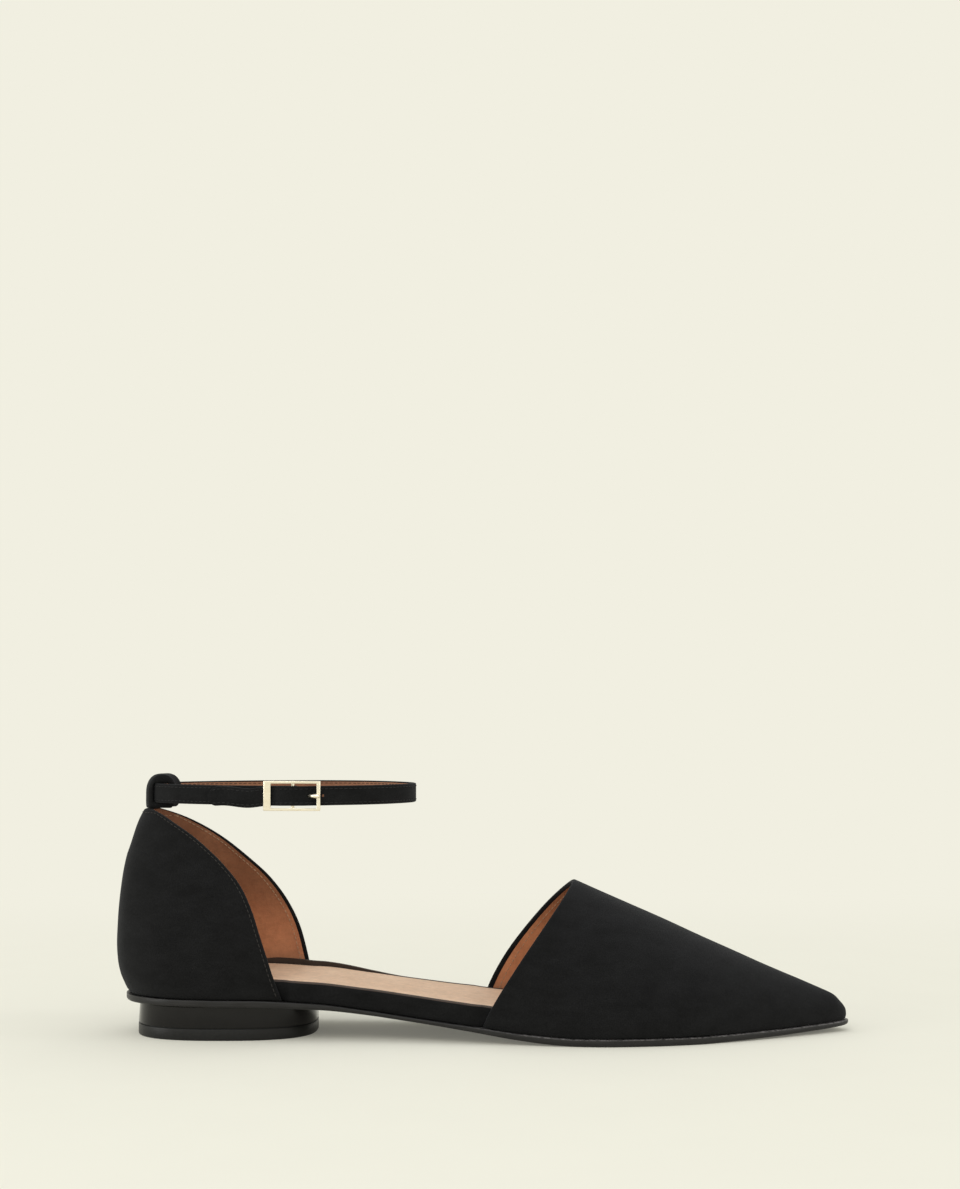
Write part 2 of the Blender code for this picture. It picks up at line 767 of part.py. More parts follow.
class StrapRing:
    """The strap's closed centre line in plan, by length run from the back over the inner side."""

    def __init__(self):
        turn = np.linspace(0, math.pi, 4 * STRAP_STEPS)
        rows = [(float(turn_of(row[0])), row[1]) for row in STRAP_RING]
        x = strap_back() + STRAP_RING_LENGTH * share_of(turn)
        y = STRAP_RING_WIDTH * through(rows, 1, turn)
        self.x = np.concatenate([x, x[-2::-1]])
        self.y = np.concatenate([y, -y[-2::-1]])
        run = np.hypot(np.diff(self.x), np.diff(self.y))
        self.run = np.concatenate([[0.0], np.cumsum(run)])
        self.total = self.run[-1]

    def outer_run_at(self, x):
        """The length run at which the outer side passes x."""
        half = len(self.x) // 2
        return float(np.interp(-x, -self.x[half:], self.run[half:]))

    def centre(self, run):
        run = run % self.total
        return np.array([np.interp(run, self.run, row) for row in (self.x, self.y)])

    def out(self, run):
        """The unit direction out of the ring at this run."""
        step = self.total / (8 * STRAP_STEPS)
        along = self.centre(run + step) - self.centre(run - step)
        return np.array([-along[1], along[0]]) / np.linalg.norm(along)

    def at(self, run, offset):
        """The plan point at this run, moved out of the ring by offset."""
        return self.centre(run) + offset * self.out(run)


# Places across the buckle, out from the strap's centre line
FOLD_RADIUS = CENTRE_BAR_RADIUS + GAP + FOLD_THICKNESS / 2
BAR_OFFSET = FOLD_RADIUS
OVER_BAR = BAR_OFFSET + FOLD_RADIUS + FOLD_THICKNESS / 2 + GAP + STRAP_THICKNESS / 2
LAYER = STRAP_THICKNESS + GAP
FRAME_OFFSET = LAYER + STRAP_THICKNESS / 2 + GAP + FRAME_THICKNESS / 2
EAR_HALF_LENGTH = 1.2 * CENTRE_BAR_RADIUS
PRONG_SLOT_HALF_HEIGHT = PRONG_RADIUS + 2 * GAP


def forward_of(out):
    """The unit direction in plan square to `out` that points towards the toe."""
    forward = np.array([-out[1], out[0]])
    return forward if forward[0] > 0 else -forward


def strap_route(ring):
    """Rows (plan point, thickness) from the folded short end round to the free tip."""
    bar = ring.outer_run_at(strap_back() + BUCKLE_REACH)
    half = FRAME_LENGTH / 2
    out = ring.out(bar)
    forward = forward_of(out)
    rows = []
    for back in (FOLD_RETURN, FOLD_RETURN / 2):
        rows.append((ring.at(bar + back, BAR_OFFSET + FOLD_RADIUS), FOLD_THICKNESS))
    for turn in np.linspace(0, math.pi, ROUND_STEPS // 2 + 3):
        step = FOLD_RADIUS * (math.cos(turn) * out + math.sin(turn) * forward)
        rows.append((ring.at(bar, BAR_OFFSET) + step, FOLD_THICKNESS))
    inner_layer = BAR_OFFSET - FOLD_RADIUS
    for back, inward, full in SKIVE:
        thick = FOLD_THICKNESS + (STRAP_THICKNESS - FOLD_THICKNESS) * full
        rows.append((ring.at(bar + back * SKIVE_LENGTH, inner_layer * (1 - inward)), thick))
    first = bar + SKIVE_LENGTH + FOLD_RETURN
    last = ring.total + bar - 2 * half
    for run in np.linspace(first, last, STRAP_STEPS):
        rows.append((ring.at(run, 0.0), STRAP_THICKNESS))
    for step, layer, over in WEAVE:
        offset = layer * LAYER + over * OVER_BAR
        rows.append((ring.at(ring.total + bar + step * half, offset), STRAP_THICKNESS))
    for step in np.linspace(2 * half, FREE_END_REACH, 4):
        rows.append((ring.at(ring.total + bar + step, LAYER), STRAP_THICKNESS))
    return rows


def ankle_strap(ring, finish):
    rows = strap_route(ring)
    middle = np.array([row[0] for row in rows])
    thick = np.array([row[1] for row in rows])
    along = np.gradient(middle, axis=0)
    along /= np.linalg.norm(along, axis=1)[:, None]
    out = np.stack([-along[:, 1], along[:, 0]], axis=1) * thick[:, None] / 2
    low = strap_middle() - STRAP_HEIGHT / 2
    high = strap_middle() + STRAP_HEIGHT / 2
    points = []
    for k in range(len(rows)):
        for sign, z in ((-1, low), (1, low), (1, high), (-1, high)):
            x, y = middle[k] + sign * out[k]
            points.append((x, y, z))
    faces = [(3, 2, 1, 0)]
    for k in range(len(rows) - 1):
        for i in range(4):
            j = (i + 1) % 4
            faces.append((4 * k + i, 4 * k + j, 4 * k + 4 + j, 4 * k + 4 + i))
    last = 4 * (len(rows) - 1)
    faces.append((last, last + 1, last + 2, last + 3))
    return mesh_object("ankle_strap", points, faces, finish)


class BuckleFrame:
    """Axes at the centre bar: forward along the strap, out of the ring, and up."""

    def __init__(self, ring):
        bar = ring.outer_run_at(strap_back() + BUCKLE_REACH)
        out = ring.out(bar)
        self.out = np.array([*out, 0.0])
        self.forward = np.array([*forward_of(out), 0.0])
        self.up = np.array([0.0, 0.0, 1.0])
        self.centre = np.array([*ring.centre(bar), strap_middle()])

    def place(self, forward, out, up):
        return self.centre + forward * self.forward + out * self.out + up * self.up

    def block(self, name, forward, out, up, finish):
        """A block between the given (low, high) limits along the three axes."""
        corners = [self.place(f, o, u) for u in up for o in out for f in forward]
        faces = [(0, 1, 3, 2), (4, 6, 7, 5), (0, 4, 5, 1), (2, 3, 7, 6), (0, 2, 6, 4), (1, 5, 7, 3)]
        return mesh_object(name, corners, faces, finish)


def combine(target, other, operation):
    """Joins or cuts the target with another object, which becomes an unrendered helper."""
    change = target.modifiers.new(operation.lower(), "BOOLEAN")
    change.operation = operation
    change.solver = "EXACT"
    change.object = other
    other.hide_render = True
    other.display_type = "WIRE"


def cut_strap(strap, axes, finish):
    """The slot in the folded end for the prong's eye, and the hole that the pin goes through."""
    high = (-PRONG_SLOT_HALF_HEIGHT, PRONG_SLOT_HALF_HEIGHT)
    reach = FOLD_RADIUS + FOLD_THICKNESS
    slot = axes.block(
        "fold_slot",
        (-reach, reach),
        (BAR_OFFSET - reach, OVER_BAR - STRAP_THICKNESS / 2 - GAP / 2),
        high,
        finish,
    )
    combine(strap, slot, "DIFFERENCE")
    along = [share * FRAME_LENGTH / 2 for share in PRONG_HOLE]
    hole = axes.block("prong_hole", along, (-LAYER, OVER_BAR + LAYER), high, finish)
    combine(strap, hole, "DIFFERENCE")


def window_frame(axes, name, finish):
    """The flat frame with one window; its rear side is the wide keeper plate."""
    half, high = FRAME_LENGTH / 2, FRAME_HEIGHT / 2
    outside = ((-half, -high), (half, -high), (half, high), (-half, high))
    front, rear, rail = half - END_BAR_LENGTH, -half + PLATE_LENGTH, high - RAIL_HEIGHT
    inside = ((rear, -rail), (front, -rail), (front, rail), (rear, rail))
    points = []
    for out in (FRAME_OFFSET - FRAME_THICKNESS / 2, FRAME_OFFSET + FRAME_THICKNESS / 2):
        for loop in (outside, inside):
            points += [axes.place(f, out, u) for f, u in loop]
    faces = []
    for i in range(4):
        j = (i + 1) % 4
        faces.append((i, j, 4 + j, 4 + i))
        faces.append((8 + i, 8 + j, 12 + j, 12 + i))
        faces.append((i, j, 8 + j, 8 + i))
        faces.append((4 + i, 4 + j, 12 + j, 12 + i))
    return mesh_object(name, points, faces, finish)


def swept_rod(name, centres, radius, sides, finish, plane_normal):
    """A round rod along centres that lie in one plane, with flat ends."""
    centres = np.array(centres)
    along = np.gradient(centres, axis=0)
    along /= np.linalg.norm(along, axis=1)[:, None]
    normal = np.array(plane_normal)
    points, faces = [], []
    for k, centre in enumerate(centres):
        across = np.cross(along[k], normal)
        for turn in np.linspace(0, 2 * math.pi, sides, endpoint=False):
            points.append(centre + radius * (math.cos(turn) * across + math.sin(turn) * normal))
    for k in range(len(centres) - 1):
        for i in range(sides):
            j = (i + 1) % sides
            faces.append((k * sides + i, k * sides + j, (k + 1) * sides + j, (k + 1) * sides + i))
    faces.append(tuple(range(sides)))
    faces.append(tuple(range((len(centres) - 1) * sides, len(centres) * sides)))
    return mesh_object(name, points, faces, finish)


def buckle(axes, finish):
    frame = window_frame(axes, "buckle_frame", finish)
    rail = FRAME_HEIGHT / 2 - RAIL_HEIGHT
    # Ears carry the centre bar from the rails down towards the foot.
    for name, side in (("ear_low", -1), ("ear_high", 1)):
        limits = sorted((side * rail, side * FRAME_HEIGHT / 2))
        along = (-EAR_HALF_LENGTH, EAR_HALF_LENGTH)
        across = (BAR_OFFSET - EAR_HALF_LENGTH, FRAME_OFFSET)
        ear = axes.block(name, along, across, limits, finish)
        combine(frame, ear, "UNION")
    reach = rail + RAIL_HEIGHT / 2
    bar_line = [axes.place(0.0, BAR_OFFSET, up) for up in (-reach, 0.0, reach)]
    bar = swept_rod("centre_bar", bar_line, CENTRE_BAR_RADIUS, ROUND_STEPS, finish, axes.out)
    combine(frame, bar, "UNION")


def prong(axes, finish):
    """The prong: an eye round the centre bar, and a pin that lies on the end bar's face."""
    inner = CENTRE_BAR_RADIUS + GAP
    outer = inner + PRONG_EYE_WALL
    points, faces = [], []
    for up in (-PRONG_RADIUS, PRONG_RADIUS):
        for radius in (inner, outer):
            for turn in np.linspace(0, 2 * math.pi, 2 * ROUND_STEPS, endpoint=False):
                points.append(
                    axes.place(radius * math.cos(turn), BAR_OFFSET + radius * math.sin(turn), up)
                )
    count = 2 * ROUND_STEPS
    for i in range(count):
        j = (i + 1) % count
        faces.append((i, j, count + j, count + i))
        faces.append((2 * count + i, 2 * count + j, 3 * count + j, 3 * count + i))
        faces.append((i, j, 2 * count + j, 2 * count + i))
        faces.append((count + i, count + j, 3 * count + j, 3 * count + i))
    eye = mesh_object("buckle_prong", points, faces, finish)
    radius = PIN_SLENDER * PRONG_RADIUS
    rise = FRAME_OFFSET + FRAME_THICKNESS / 2 + GAP + radius - BAR_OFFSET
    pin_line = [axes.place((inner + outer) / 2, BAR_OFFSET, 0.0)]
    for along, share in PIN_LINE:
        pin_line.append(axes.place(along * FRAME_LENGTH / 2, BAR_OFFSET + share * rise, 0.0))
    pin = swept_rod("prong_pin", pin_line, radius, 8, finish, axes.up)
    combine(eye, pin, "UNION")


def main():
    for old in list(bpy.data.objects):
        bpy.data.objects.remove(old)
    suede = material("black_suede", (0.013, 0.013, 0.014), 0.95)
    footbed = material("tan_lining", (0.60, 0.38, 0.26), 0.65)
    edge = material("sole_leather", (0.03, 0.028, 0.03), 0.35)
    gloss = material("heel_gloss", (0.02, 0.019, 0.02), 0.18)
    rubber = material("top_piece_rubber", (0.02, 0.02, 0.02), 0.5)
    gold = material("pale_gold", (0.85, 0.72, 0.50), 0.25, metallic=1.0)
    outsole(edge)
    heel(gloss, rubber)
    insole(suede)
    sock(footbed)
    upper_quarter(suede)
    upper_vamp(suede)
    heel_loop(suede)
    ring = StrapRing()
    axes = BuckleFrame(ring)
    strap = ankle_strap(ring, suede)
    cut_strap(strap, axes, suede)
    buckle(axes, gold)
    prong(axes, gold)


main()
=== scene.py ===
"""Looks of a pointed flat with an ankle strap: suede, linings, seams, buckle and gloss heel.

Metres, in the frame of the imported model: toe to +X, outer side to -Y, floor at zero. The sizes
and tables of the form are the model's own, read here more finely.
"""

import math

import bmesh
import bpy
import numpy as np
from mathutils import Matrix, Vector, noise


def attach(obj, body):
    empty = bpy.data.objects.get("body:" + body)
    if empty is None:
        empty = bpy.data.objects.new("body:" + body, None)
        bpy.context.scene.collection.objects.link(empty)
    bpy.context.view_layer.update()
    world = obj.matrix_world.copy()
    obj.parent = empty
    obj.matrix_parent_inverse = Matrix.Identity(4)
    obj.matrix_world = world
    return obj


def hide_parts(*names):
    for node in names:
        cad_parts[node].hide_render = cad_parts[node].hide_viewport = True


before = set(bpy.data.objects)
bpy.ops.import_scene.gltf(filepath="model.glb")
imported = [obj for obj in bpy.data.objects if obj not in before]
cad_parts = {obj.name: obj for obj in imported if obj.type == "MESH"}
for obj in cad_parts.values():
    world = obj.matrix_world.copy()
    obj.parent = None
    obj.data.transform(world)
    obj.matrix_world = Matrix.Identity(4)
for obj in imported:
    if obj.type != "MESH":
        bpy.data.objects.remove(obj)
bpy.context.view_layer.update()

MM = 0.001

# Overall sizes of the upper
SHOE_LENGTH = 263.1 * MM  # rearmost point of the counter to the tip of the toe
COUNTER_REACH = 40.6 * MM  # origin back to the rearmost point of the counter
COUNTER_TUCK = 4.4 * MM  # the counter's rearmost point stands this far behind the seat
COUNTER_HEIGHT = 65.2 * MM  # sole to the top of the quarter, at the back
QUARTER_REACH = 62.0 * MM  # rearmost point to the quarter's outer front edge, at the sole
BALL_WIDTH = 76.0 * MM
INSTEP_HEIGHT = 51.3 * MM  # sole to the crest of the throat
VAMP_LENGTH = 98.3 * MM  # crest of the throat to the tip of the toe
WING_LENGTH = 131.2 * MM  # back end of the vamp's wings, at the sole, to the tip of the toe
WALL = 1.8 * MM  # suede and lining together
GAP = 0.3 * MM  # between pieces that meet

# Sole, heel and insole
SEAT_RISE = 11.6 * MM  # floor to the sole's underside at the seat
TOE_SPRING = 2.2 * MM
SOLE_THICKNESS = 2.5 * MM
SOLE_PROUD = 0.7 * MM  # the sole's edge stands this far outside the upper
SOLE_EDGE_ROUND = 0.9 * MM
HEEL_LENGTH = 64.0 * MM
HEEL_WIDTH = 52.0 * MM
HEEL_DRAFT = 0.4 * MM  # the block is this much smaller all round at its top
HEEL_CORNER = 2.6  # exponent of the heel's rounded outline
TOP_PIECE_THICKNESS = 4.0 * MM
TOP_PIECE_ROUND = 0.5 * MM
INSOLE_THICKNESS = 7.0 * MM
INSOLE_GAP = 0.45 * MM  # between the insole's side and the shells round it
INSOLE_EDGE_ROUND = 1.0 * MM
INSOLE_WAIST_INSET = 0.6 * MM  # from the feather line, where no upper covers the insole
INSOLE_STEP = 3.0 * MM  # length over which the insole's side comes out past a shell's edge
NEAR_STEP = 0.3  # stations nearer than this share of a step to its ends are left out
LIP_RISE = 2.0 * MM  # how far the insole's inner rim stands up at the waist
RIM_WIDTH = 1.6 * MM
SOCK_THICKNESS = 0.8 * MM

# Shape of the shells
CUP_LENGTH = 60.0 * MM  # the counter's overhang fades out over this length
OUTER_SWEEP = 1.2  # above 1 the throat's edge bends forward towards its crest, outer side
INNER_SWEEP = 1.45  # and inner side
THROAT_FADE = 2.5  # how fast the sections turn upright from the throat to the toe
SIDE_SWELL = 0.035  # share by which the vamp's sides stand out over the feather line
OUTER_SLOPE = 1.15  # exponent of the vamp's section on the outer side
INNER_SLOPE = 1.0  # and on the inner side, which is fuller

# Ankle strap and its loop
STRAP_THICKNESS = 1.6 * MM
STRAP_HEIGHT = 6.8 * MM
STRAP_RING_LENGTH = 94.1 * MM
STRAP_RING_WIDTH = 55.6 * MM
STRAP_SETBACK = 3.5 * MM  # the collar's back forward to the middle of the strap's wall
FOLD_THICKNESS = 0.8 * MM  # the short end is skived where it folds round the bar
FOLD_RETURN = 3.5 * MM
SKIVE_LENGTH = 10.0 * MM
FREE_END_REACH = 30.3 * MM  # centre bar back to the strap's free tip
LOOP_LENGTH = 10.1 * MM  # the folded tab's outside, fore and aft
LOOP_WIDTH = 14.0 * MM
LOOP_WALL = 1.7 * MM  # the tab's thickness behind the strap and in front of it
LOOP_CROWN = 2.8 * MM  # and over the strap
LOOP_FOOT = 1.5 * MM  # and where it stands on the quarter
LOOP_ROOM = 0.5 * MM  # over and under the strap inside the loop
LOOP_BEND = 11.0 * MM  # radius at which the tab bends round the back of the strap
LOOP_ROUND = 2.2  # exponent of the tab's outside outline
LOOP_FOOT_CORNER = 6.0  # and of its lower back, which is squarer
LOOP_INSIDE_CORNER = 8.0  # and of its inside

# Buckle
BUCKLE_REACH = 52.8 * MM  # the strap's back forward to the centre bar
FRAME_LENGTH = 20.0 * MM
FRAME_THICKNESS = 1.0 * MM
RAIL_HEIGHT = 0.9 * MM
RAIL_ROOM = 0.9 * MM  # over and under the strap between the rails
PLATE_LENGTH = 2.6 * MM
END_BAR_LENGTH = 1.3 * MM
CENTRE_BAR_RADIUS = 0.6 * MM
PRONG_RADIUS = 0.55 * MM
PRONG_EYE_WALL = 0.5 * MM

# Resolution of the surfaces
OUTLINE_STEPS = 150
SHELL_STEPS = 100
SECTION_STEPS = 26
QUARTER_STEPS = 56
ROUND_STEPS = 16
STRAP_STEPS = 64


BACK_X = -COUNTER_REACH
SEAT_BACK_X = BACK_X + COUNTER_TUCK
TIP_X = BACK_X + SHOE_LENGTH
SOLE_LENGTH = TIP_X - SEAT_BACK_X
THROAT_X = TIP_X - VAMP_LENGTH
WING_X = TIP_X - WING_LENGTH
LOOP_HEIGHT = STRAP_HEIGHT + 2 * (LOOP_ROOM + LOOP_CROWN)
FRAME_HEIGHT = STRAP_HEIGHT + 2 * (RAIL_ROOM + RAIL_HEIGHT)
OUTER, INNER = -1, 1

# share of sole length, outer half-width, inner half-width, as shares of ball width
FEATHER_LINE = (
    (0.000, 0.000, 0.000),
    (0.019, 0.184, 0.184),
    (0.077, 0.318, 0.318),
    (0.143, 0.360, 0.354),
    (0.213, 0.366, 0.347),
    (0.290, 0.365, 0.322),
    (0.367, 0.374, 0.291),
    (0.445, 0.408, 0.290),
    (0.522, 0.454, 0.329),
    (0.599, 0.498, 0.405),
    (0.657, 0.517, 0.463),
    (0.715, 0.497, 0.483),
    (0.773, 0.450, 0.455),
    (0.831, 0.367, 0.374),
    (0.889, 0.267, 0.272),
    (0.947, 0.155, 0.157),
    (1.000, 0.000, 0.000),
)

# share of sole length, rise as a share of seat rise, of toe spring, thickness of the sole's
SOLE_PROFILE = (
    (0.000, 1.000, 0.00, 1.00),
    (0.174, 1.000, 0.00, 1.00),
    (0.271, 0.940, 0.00, 0.80),
    (0.336, 0.800, 0.00, 0.62),
    (0.383, 0.655, 0.00, 0.58),
    (0.433, 0.500, 0.00, 0.62),
    (0.483, 0.335, 0.00, 0.75),
    (0.541, 0.140, 0.00, 0.90),
    (0.591, 0.030, 0.00, 1.00),
    (0.622, 0.000, 0.00, 1.00),
    (0.773, 0.000, 0.00, 1.00),
    (0.870, 0.000, 0.24, 0.92),
    (0.947, 0.000, 0.60, 0.80),
    (1.000, 0.000, 1.00, 0.70),
)

# share of sole length, thickness of the insole's, rise of the inner lip's
INSOLE_PROFILE = (
    (0.000, 0.96, 0.00),
    (0.135, 0.96, 0.00),
    (0.205, 0.96, 1.00),
    (0.290, 0.96, 0.70),
    (0.387, 1.00, 0.00),
    (0.520, 1.00, 0.00),
    (0.622, 0.80, 0.00),
    (0.773, 0.60, 0.00),
    (0.900, 0.44, 0.00),
    (1.000, 0.36, 0.00),
)

# share of counter height, overhang as a share of counter tuck, half-width of the feather line's
CUP_PROFILE = (
    (0.000, 0.00, 1.000),
    (0.050, 0.36, 1.020),
    (0.106, 0.70, 1.035),
    (0.172, 0.90, 1.043),
    (0.271, 1.00, 1.035),
    (0.380, 0.95, 0.995),
    (0.590, 0.70, 0.875),
    (0.735, 0.32, 0.785),
    (0.800, 0.00, 0.750),
    (0.934, -0.66, 0.680),
    (1.000, -1.14, 0.650),
)

# share of counter height, outer reach, inner reach, as shares of quarter reach
QUARTER_EDGE = (
    (0.00, 1.000, 1.120),
    (0.10, 0.960, 1.095),
    (0.22, 0.918, 1.062),
    (0.34, 0.875, 1.020),
    (0.46, 0.830, 0.955),
    (0.59, 0.762, 0.853),
    (0.71, 0.658, 0.720),
    (0.80, 0.552, 0.606),
    (0.87, 0.455, 0.495),
    (0.93, 0.352, 0.380),
    (0.97, 0.277, 0.283),
    (1.00, 0.194, 0.194),
)

# share of vamp length from the throat, height of the crest as a share of instep height
CREST = (
    (0.000, 1.000),
    (0.166, 0.861),
    (0.343, 0.711),
    (0.518, 0.557),
    (0.695, 0.401),
    (0.869, 0.251),
    (0.912, 0.212),
    (0.957, 0.165),
    (0.979, 0.119),
    (1.000, 0.041),
)

# share of the ring's length from the back, half-width as a share of the ring's width
STRAP_RING = (
    (0.00, 0.00),
    (0.10, 0.25),
    (0.25, 0.39),
    (0.45, 0.48),
    (0.62, 0.50),
    (0.76, 0.46),
    (0.87, 0.36),
    (0.95, 0.22),
    (1.00, 0.00),
)

# Way of the strap's long end through the buckle, towards its tip:
# half frame lengths past the centre bar, share of one layer out, share of the way over the bar
WEAVE = (
    (-1.70, 0.10, 0.00),
    (-1.40, 0.40, 0.00),
    (-1.00, 0.88, 0.00),
    (-0.90, 0.88, 0.00),
    (-0.60, 0.60, 0.40),
    (-0.25, 0.10, 0.90),
    (0.00, 0.00, 1.00),
    (0.25, 0.10, 0.90),
    (0.55, 0.65, 0.35),
    (0.80, 1.00, 0.00),
    (1.00, 1.00, 0.00),
    (1.50, 1.00, 0.00),
)

# skive lengths back from the centre bar, share of the step in to the centre line, of full wall
SKIVE = (
    (0.30, 0.30, 0.00),
    (0.60, 0.60, 0.00),
    (0.80, 0.80, 0.50),
    (1.00, 1.00, 1.00),
)

# half frame lengths past the centre bar, share of the rise from the bar to the pin's rest
PIN_LINE = (
    (0.30, 0.00),
    (0.48, 0.20),
    (0.62, 0.50),
    (0.76, 0.90),
    (0.86, 1.00),
    (1.00, 1.00),
)

# Looks: edges, seams and soft forms
EDGE_STEPS = (0.0, 0.08, 0.30, 0.62, 1.0, 1.6)  # rows at a free edge, in radii of its round
TURNED_EDGE = 1.4 * MM  # suede folded over a free edge onto the lining
FEATHER_TUCK = 0.45 * MM  # the upper is drawn in this far where it meets the sole
FEATHER_RISE = 1.6 * MM
VAMP_RUN = 160.0 * MM  # about the vamp's length over its surface
SOFT_DEPTH = 0.12 * MM
SOFT_SIZE = 16.0 * MM
SOFT_SEED = 3  # the soft field is drawn at random, and this makes every run draw the same one
SOLE_TOP_ROUND = 0.30 * MM
HEEL_SEAM_ROUND = 0.25 * MM
INSOLE_FOOT_TUCK = 0.4 * MM
SOCK_LINE = 0.7 * MM
SOCK_ROUND = 0.25 * MM
STITCH_INSET = 1.3 * MM
STITCH_PITCH = 1.8 * MM
STITCH_LENGTH = 1.35 * MM
THREAD_RADIUS = 0.17 * MM
THREAD_LIFT = 0.03 * MM
LINING_SEAM = 3.2 * MM  # the lining's own seam lies this far inside the edge
SEAM_START = 0.02  # share of the quarter's height at which its seams start
SEAM_STEPS = 160
LINING_PAINTED_LIGHT_FADE = (28.0 * MM, 55.0 * MM)  # heights between which the painted light on the lining's foot fades out
STRAP_PITCH = 0.9 * MM
STRAP_SEAM = 1.0 * MM  # the strap's seams lie this far in from its edges
STRAP_EDGE_ROUND = 0.30  # share of the strap's thickness
TIP_ROUND = 1.0  # length of the strap's rounded tip, in half heights
FREE_END_DROP = 0.55 * MM  # how far the loose end of the strap hangs
FREE_END_WAVE = 0.35 * MM
WAVE_LENGTH = 18.0 * MM
WAVE_START = 0.83  # share of a wave from the tip to its lowest place
HOLE_RADIUS = 0.5 * MM
STRAP_HOLES = (6.6 * MM, 11.8 * MM)  # forward of the centre bar
LOOP_HUG = 0.1 * MM  # the loop's soft inside comes this near to the strap's edges
FRAME_BEVEL = 0.30 * MM
PIN_STOUT = 1.3  # the pin's radius as a share of the eye's half-width
PIN_START = 0.08  # where the pin leaves the eye, in half frame lengths past the centre bar
PIN_END = 0.93  # and where its end starts to round
PIN_END_LENGTH = 0.072

# Stage and camera
CAMERA_PLACE = (0.0904, -0.750, 0.116)
CAMERA_RISE = math.radians(3.145)
CAMERA_LENS = 62.3
FLOOR_COLOUR = (0.880, 0.863, 0.753)
FLOOR_DIFFUSE = 0.75
FLOOR_GLOW = 0.15
SHOE_MIDDLE_X = 0.09
EVEN_FROM = (0.13, 0.55)  # between these distances from the shoe the paper turns one even colour
EVEN_STRETCH = 0.55  # distances along the shoe count as this share
WORLD_STRENGTH = 0.80

# name, place, size, watts
SOFTBOXES = (
    ("overhead_box", (0.05, 0.75, 1.90), (1.6, 1.2), 4.0),
    ("key_box", (-0.45, -1.50, 1.30), (1.1, 0.9), 8.8),
    ("left_box", (-1.3, -0.45, 0.45), (0.5, 0.8), 5.1),
    ("right_box", (1.5, -0.20, 0.45), (0.4, 0.8), 4.2),
)


def through(rows, column, at):
    """Values at `at` of the smooth curve through the rows' first column and this one.

    The curve keeps each stretch between two rows rising or falling as the rows do.
    """
    x = np.array([row[0] for row in rows], float)
    y = np.array([row[column] for row in rows], float)
    return hermite(x, y, at)


def hermite(x, y, at):
    step = np.diff(x)
    slope = np.diff(y) / step
    tangent = np.empty(len(x))
    tangent[0], tangent[-1] = slope[0], slope[-1]
    before, after = slope[:-1], slope[1:]
    same = before * after > 0
    weight_before = 2 * step[1:] + step[:-1]
    weight_after = step[1:] + 2 * step[:-1]
    safe_before = np.where(same, before, 1.0)
    safe_after = np.where(same, after, 1.0)
    total = weight_before + weight_after
    mean = total / (weight_before / safe_before + weight_after / safe_after)
    tangent[1:-1] = np.where(same, mean, 0.0)
    at = np.clip(np.asarray(at, float), x[0], x[-1])
    i = np.clip(np.searchsorted(x, at, side="right") - 1, 0, len(x) - 2)
    t = (at - x[i]) / step[i]
    rise = t * t * (3 - 2 * t)
    lead = t * (1 - t) ** 2 * step[i] * tangent[i]
    trail = t * t * (t - 1) * step[i] * tangent[i + 1]
    return y[i] + rise * (y[i + 1] - y[i]) + lead + trail


def smooth_step(low, high, at):
    t = np.clip((at - low) / (high - low), 0.0, 1.0)
    return t * t * (3 - 2 * t)


def turn_of(share):
    """The angle round a long oval at this share of its length: rounds the curve's two ends."""
    return np.arccos(np.clip(1 - 2 * np.asarray(share, float), -1.0, 1.0))


def share_of(turn):
    return (1 - np.cos(turn)) / 2


def sole_share(x):
    return (np.asarray(x, float) - SEAT_BACK_X) / SOLE_LENGTH


def feather_half_width(turn, side):
    column = 1 if side == OUTER else 2
    rows = [(float(turn_of(row[0])), row[column]) for row in FEATHER_LINE]
    return BALL_WIDTH * through(rows, 1, turn)


def feather_curve(turn, side, inset):
    """Plan points (x, half-width) of the feather line on one side, moved in by `inset`."""
    small = 1e-4
    turn = np.asarray(turn, float)
    x = SEAT_BACK_X + SOLE_LENGTH * share_of(turn)
    y = feather_half_width(turn, side)
    dx = SOLE_LENGTH * np.sin(turn) / 2
    ahead = np.clip(turn + small, 0, math.pi)
    behind = np.clip(turn - small, 0, math.pi)
    dy = (feather_half_width(ahead, side) - feather_half_width(behind, side)) / (ahead - behind)
    length = np.hypot(dx, dy)
    return x + inset * dy / length, y - inset * dx / length


def sole_underside(x):
    share = sole_share(x)
    rise = SEAT_RISE * through(SOLE_PROFILE, 1, share)
    return rise + TOE_SPRING * through(SOLE_PROFILE, 2, share)


def sole_top(x):
    return sole_underside(x) + SOLE_THICKNESS * through(SOLE_PROFILE, 3, sole_share(x))


def seat_for_upper(x):
    """Height at which insole and upper stand on the sole."""
    return sole_top(x) + GAP


def insole_top(x):
    return seat_for_upper(x) + INSOLE_THICKNESS * through(INSOLE_PROFILE, 1, sole_share(x))


def lip(x, side):
    if side == OUTER:
        return 0.0 * np.asarray(x)
    return LIP_RISE * through(INSOLE_PROFILE, 2, sole_share(x))


def plain_stations():
    return share_of(np.linspace(0, math.pi, OUTLINE_STEPS + 1))


def insole_stations():
    """Stations that also catch both ends of each step in the insole's side."""
    stations = list(plain_stations())
    low = SEAT_BACK_X + WALL + INSOLE_GAP
    length = SOLE_LENGTH - 2 * (WALL + INSOLE_GAP)
    near = NEAR_STEP * INSOLE_STEP / length
    for edge in step_edges():
        share = (edge - low) / length
        stations = [one for one in stations if abs(one - share) > near]
        stations.append(share)
    return np.array(sorted(stations))


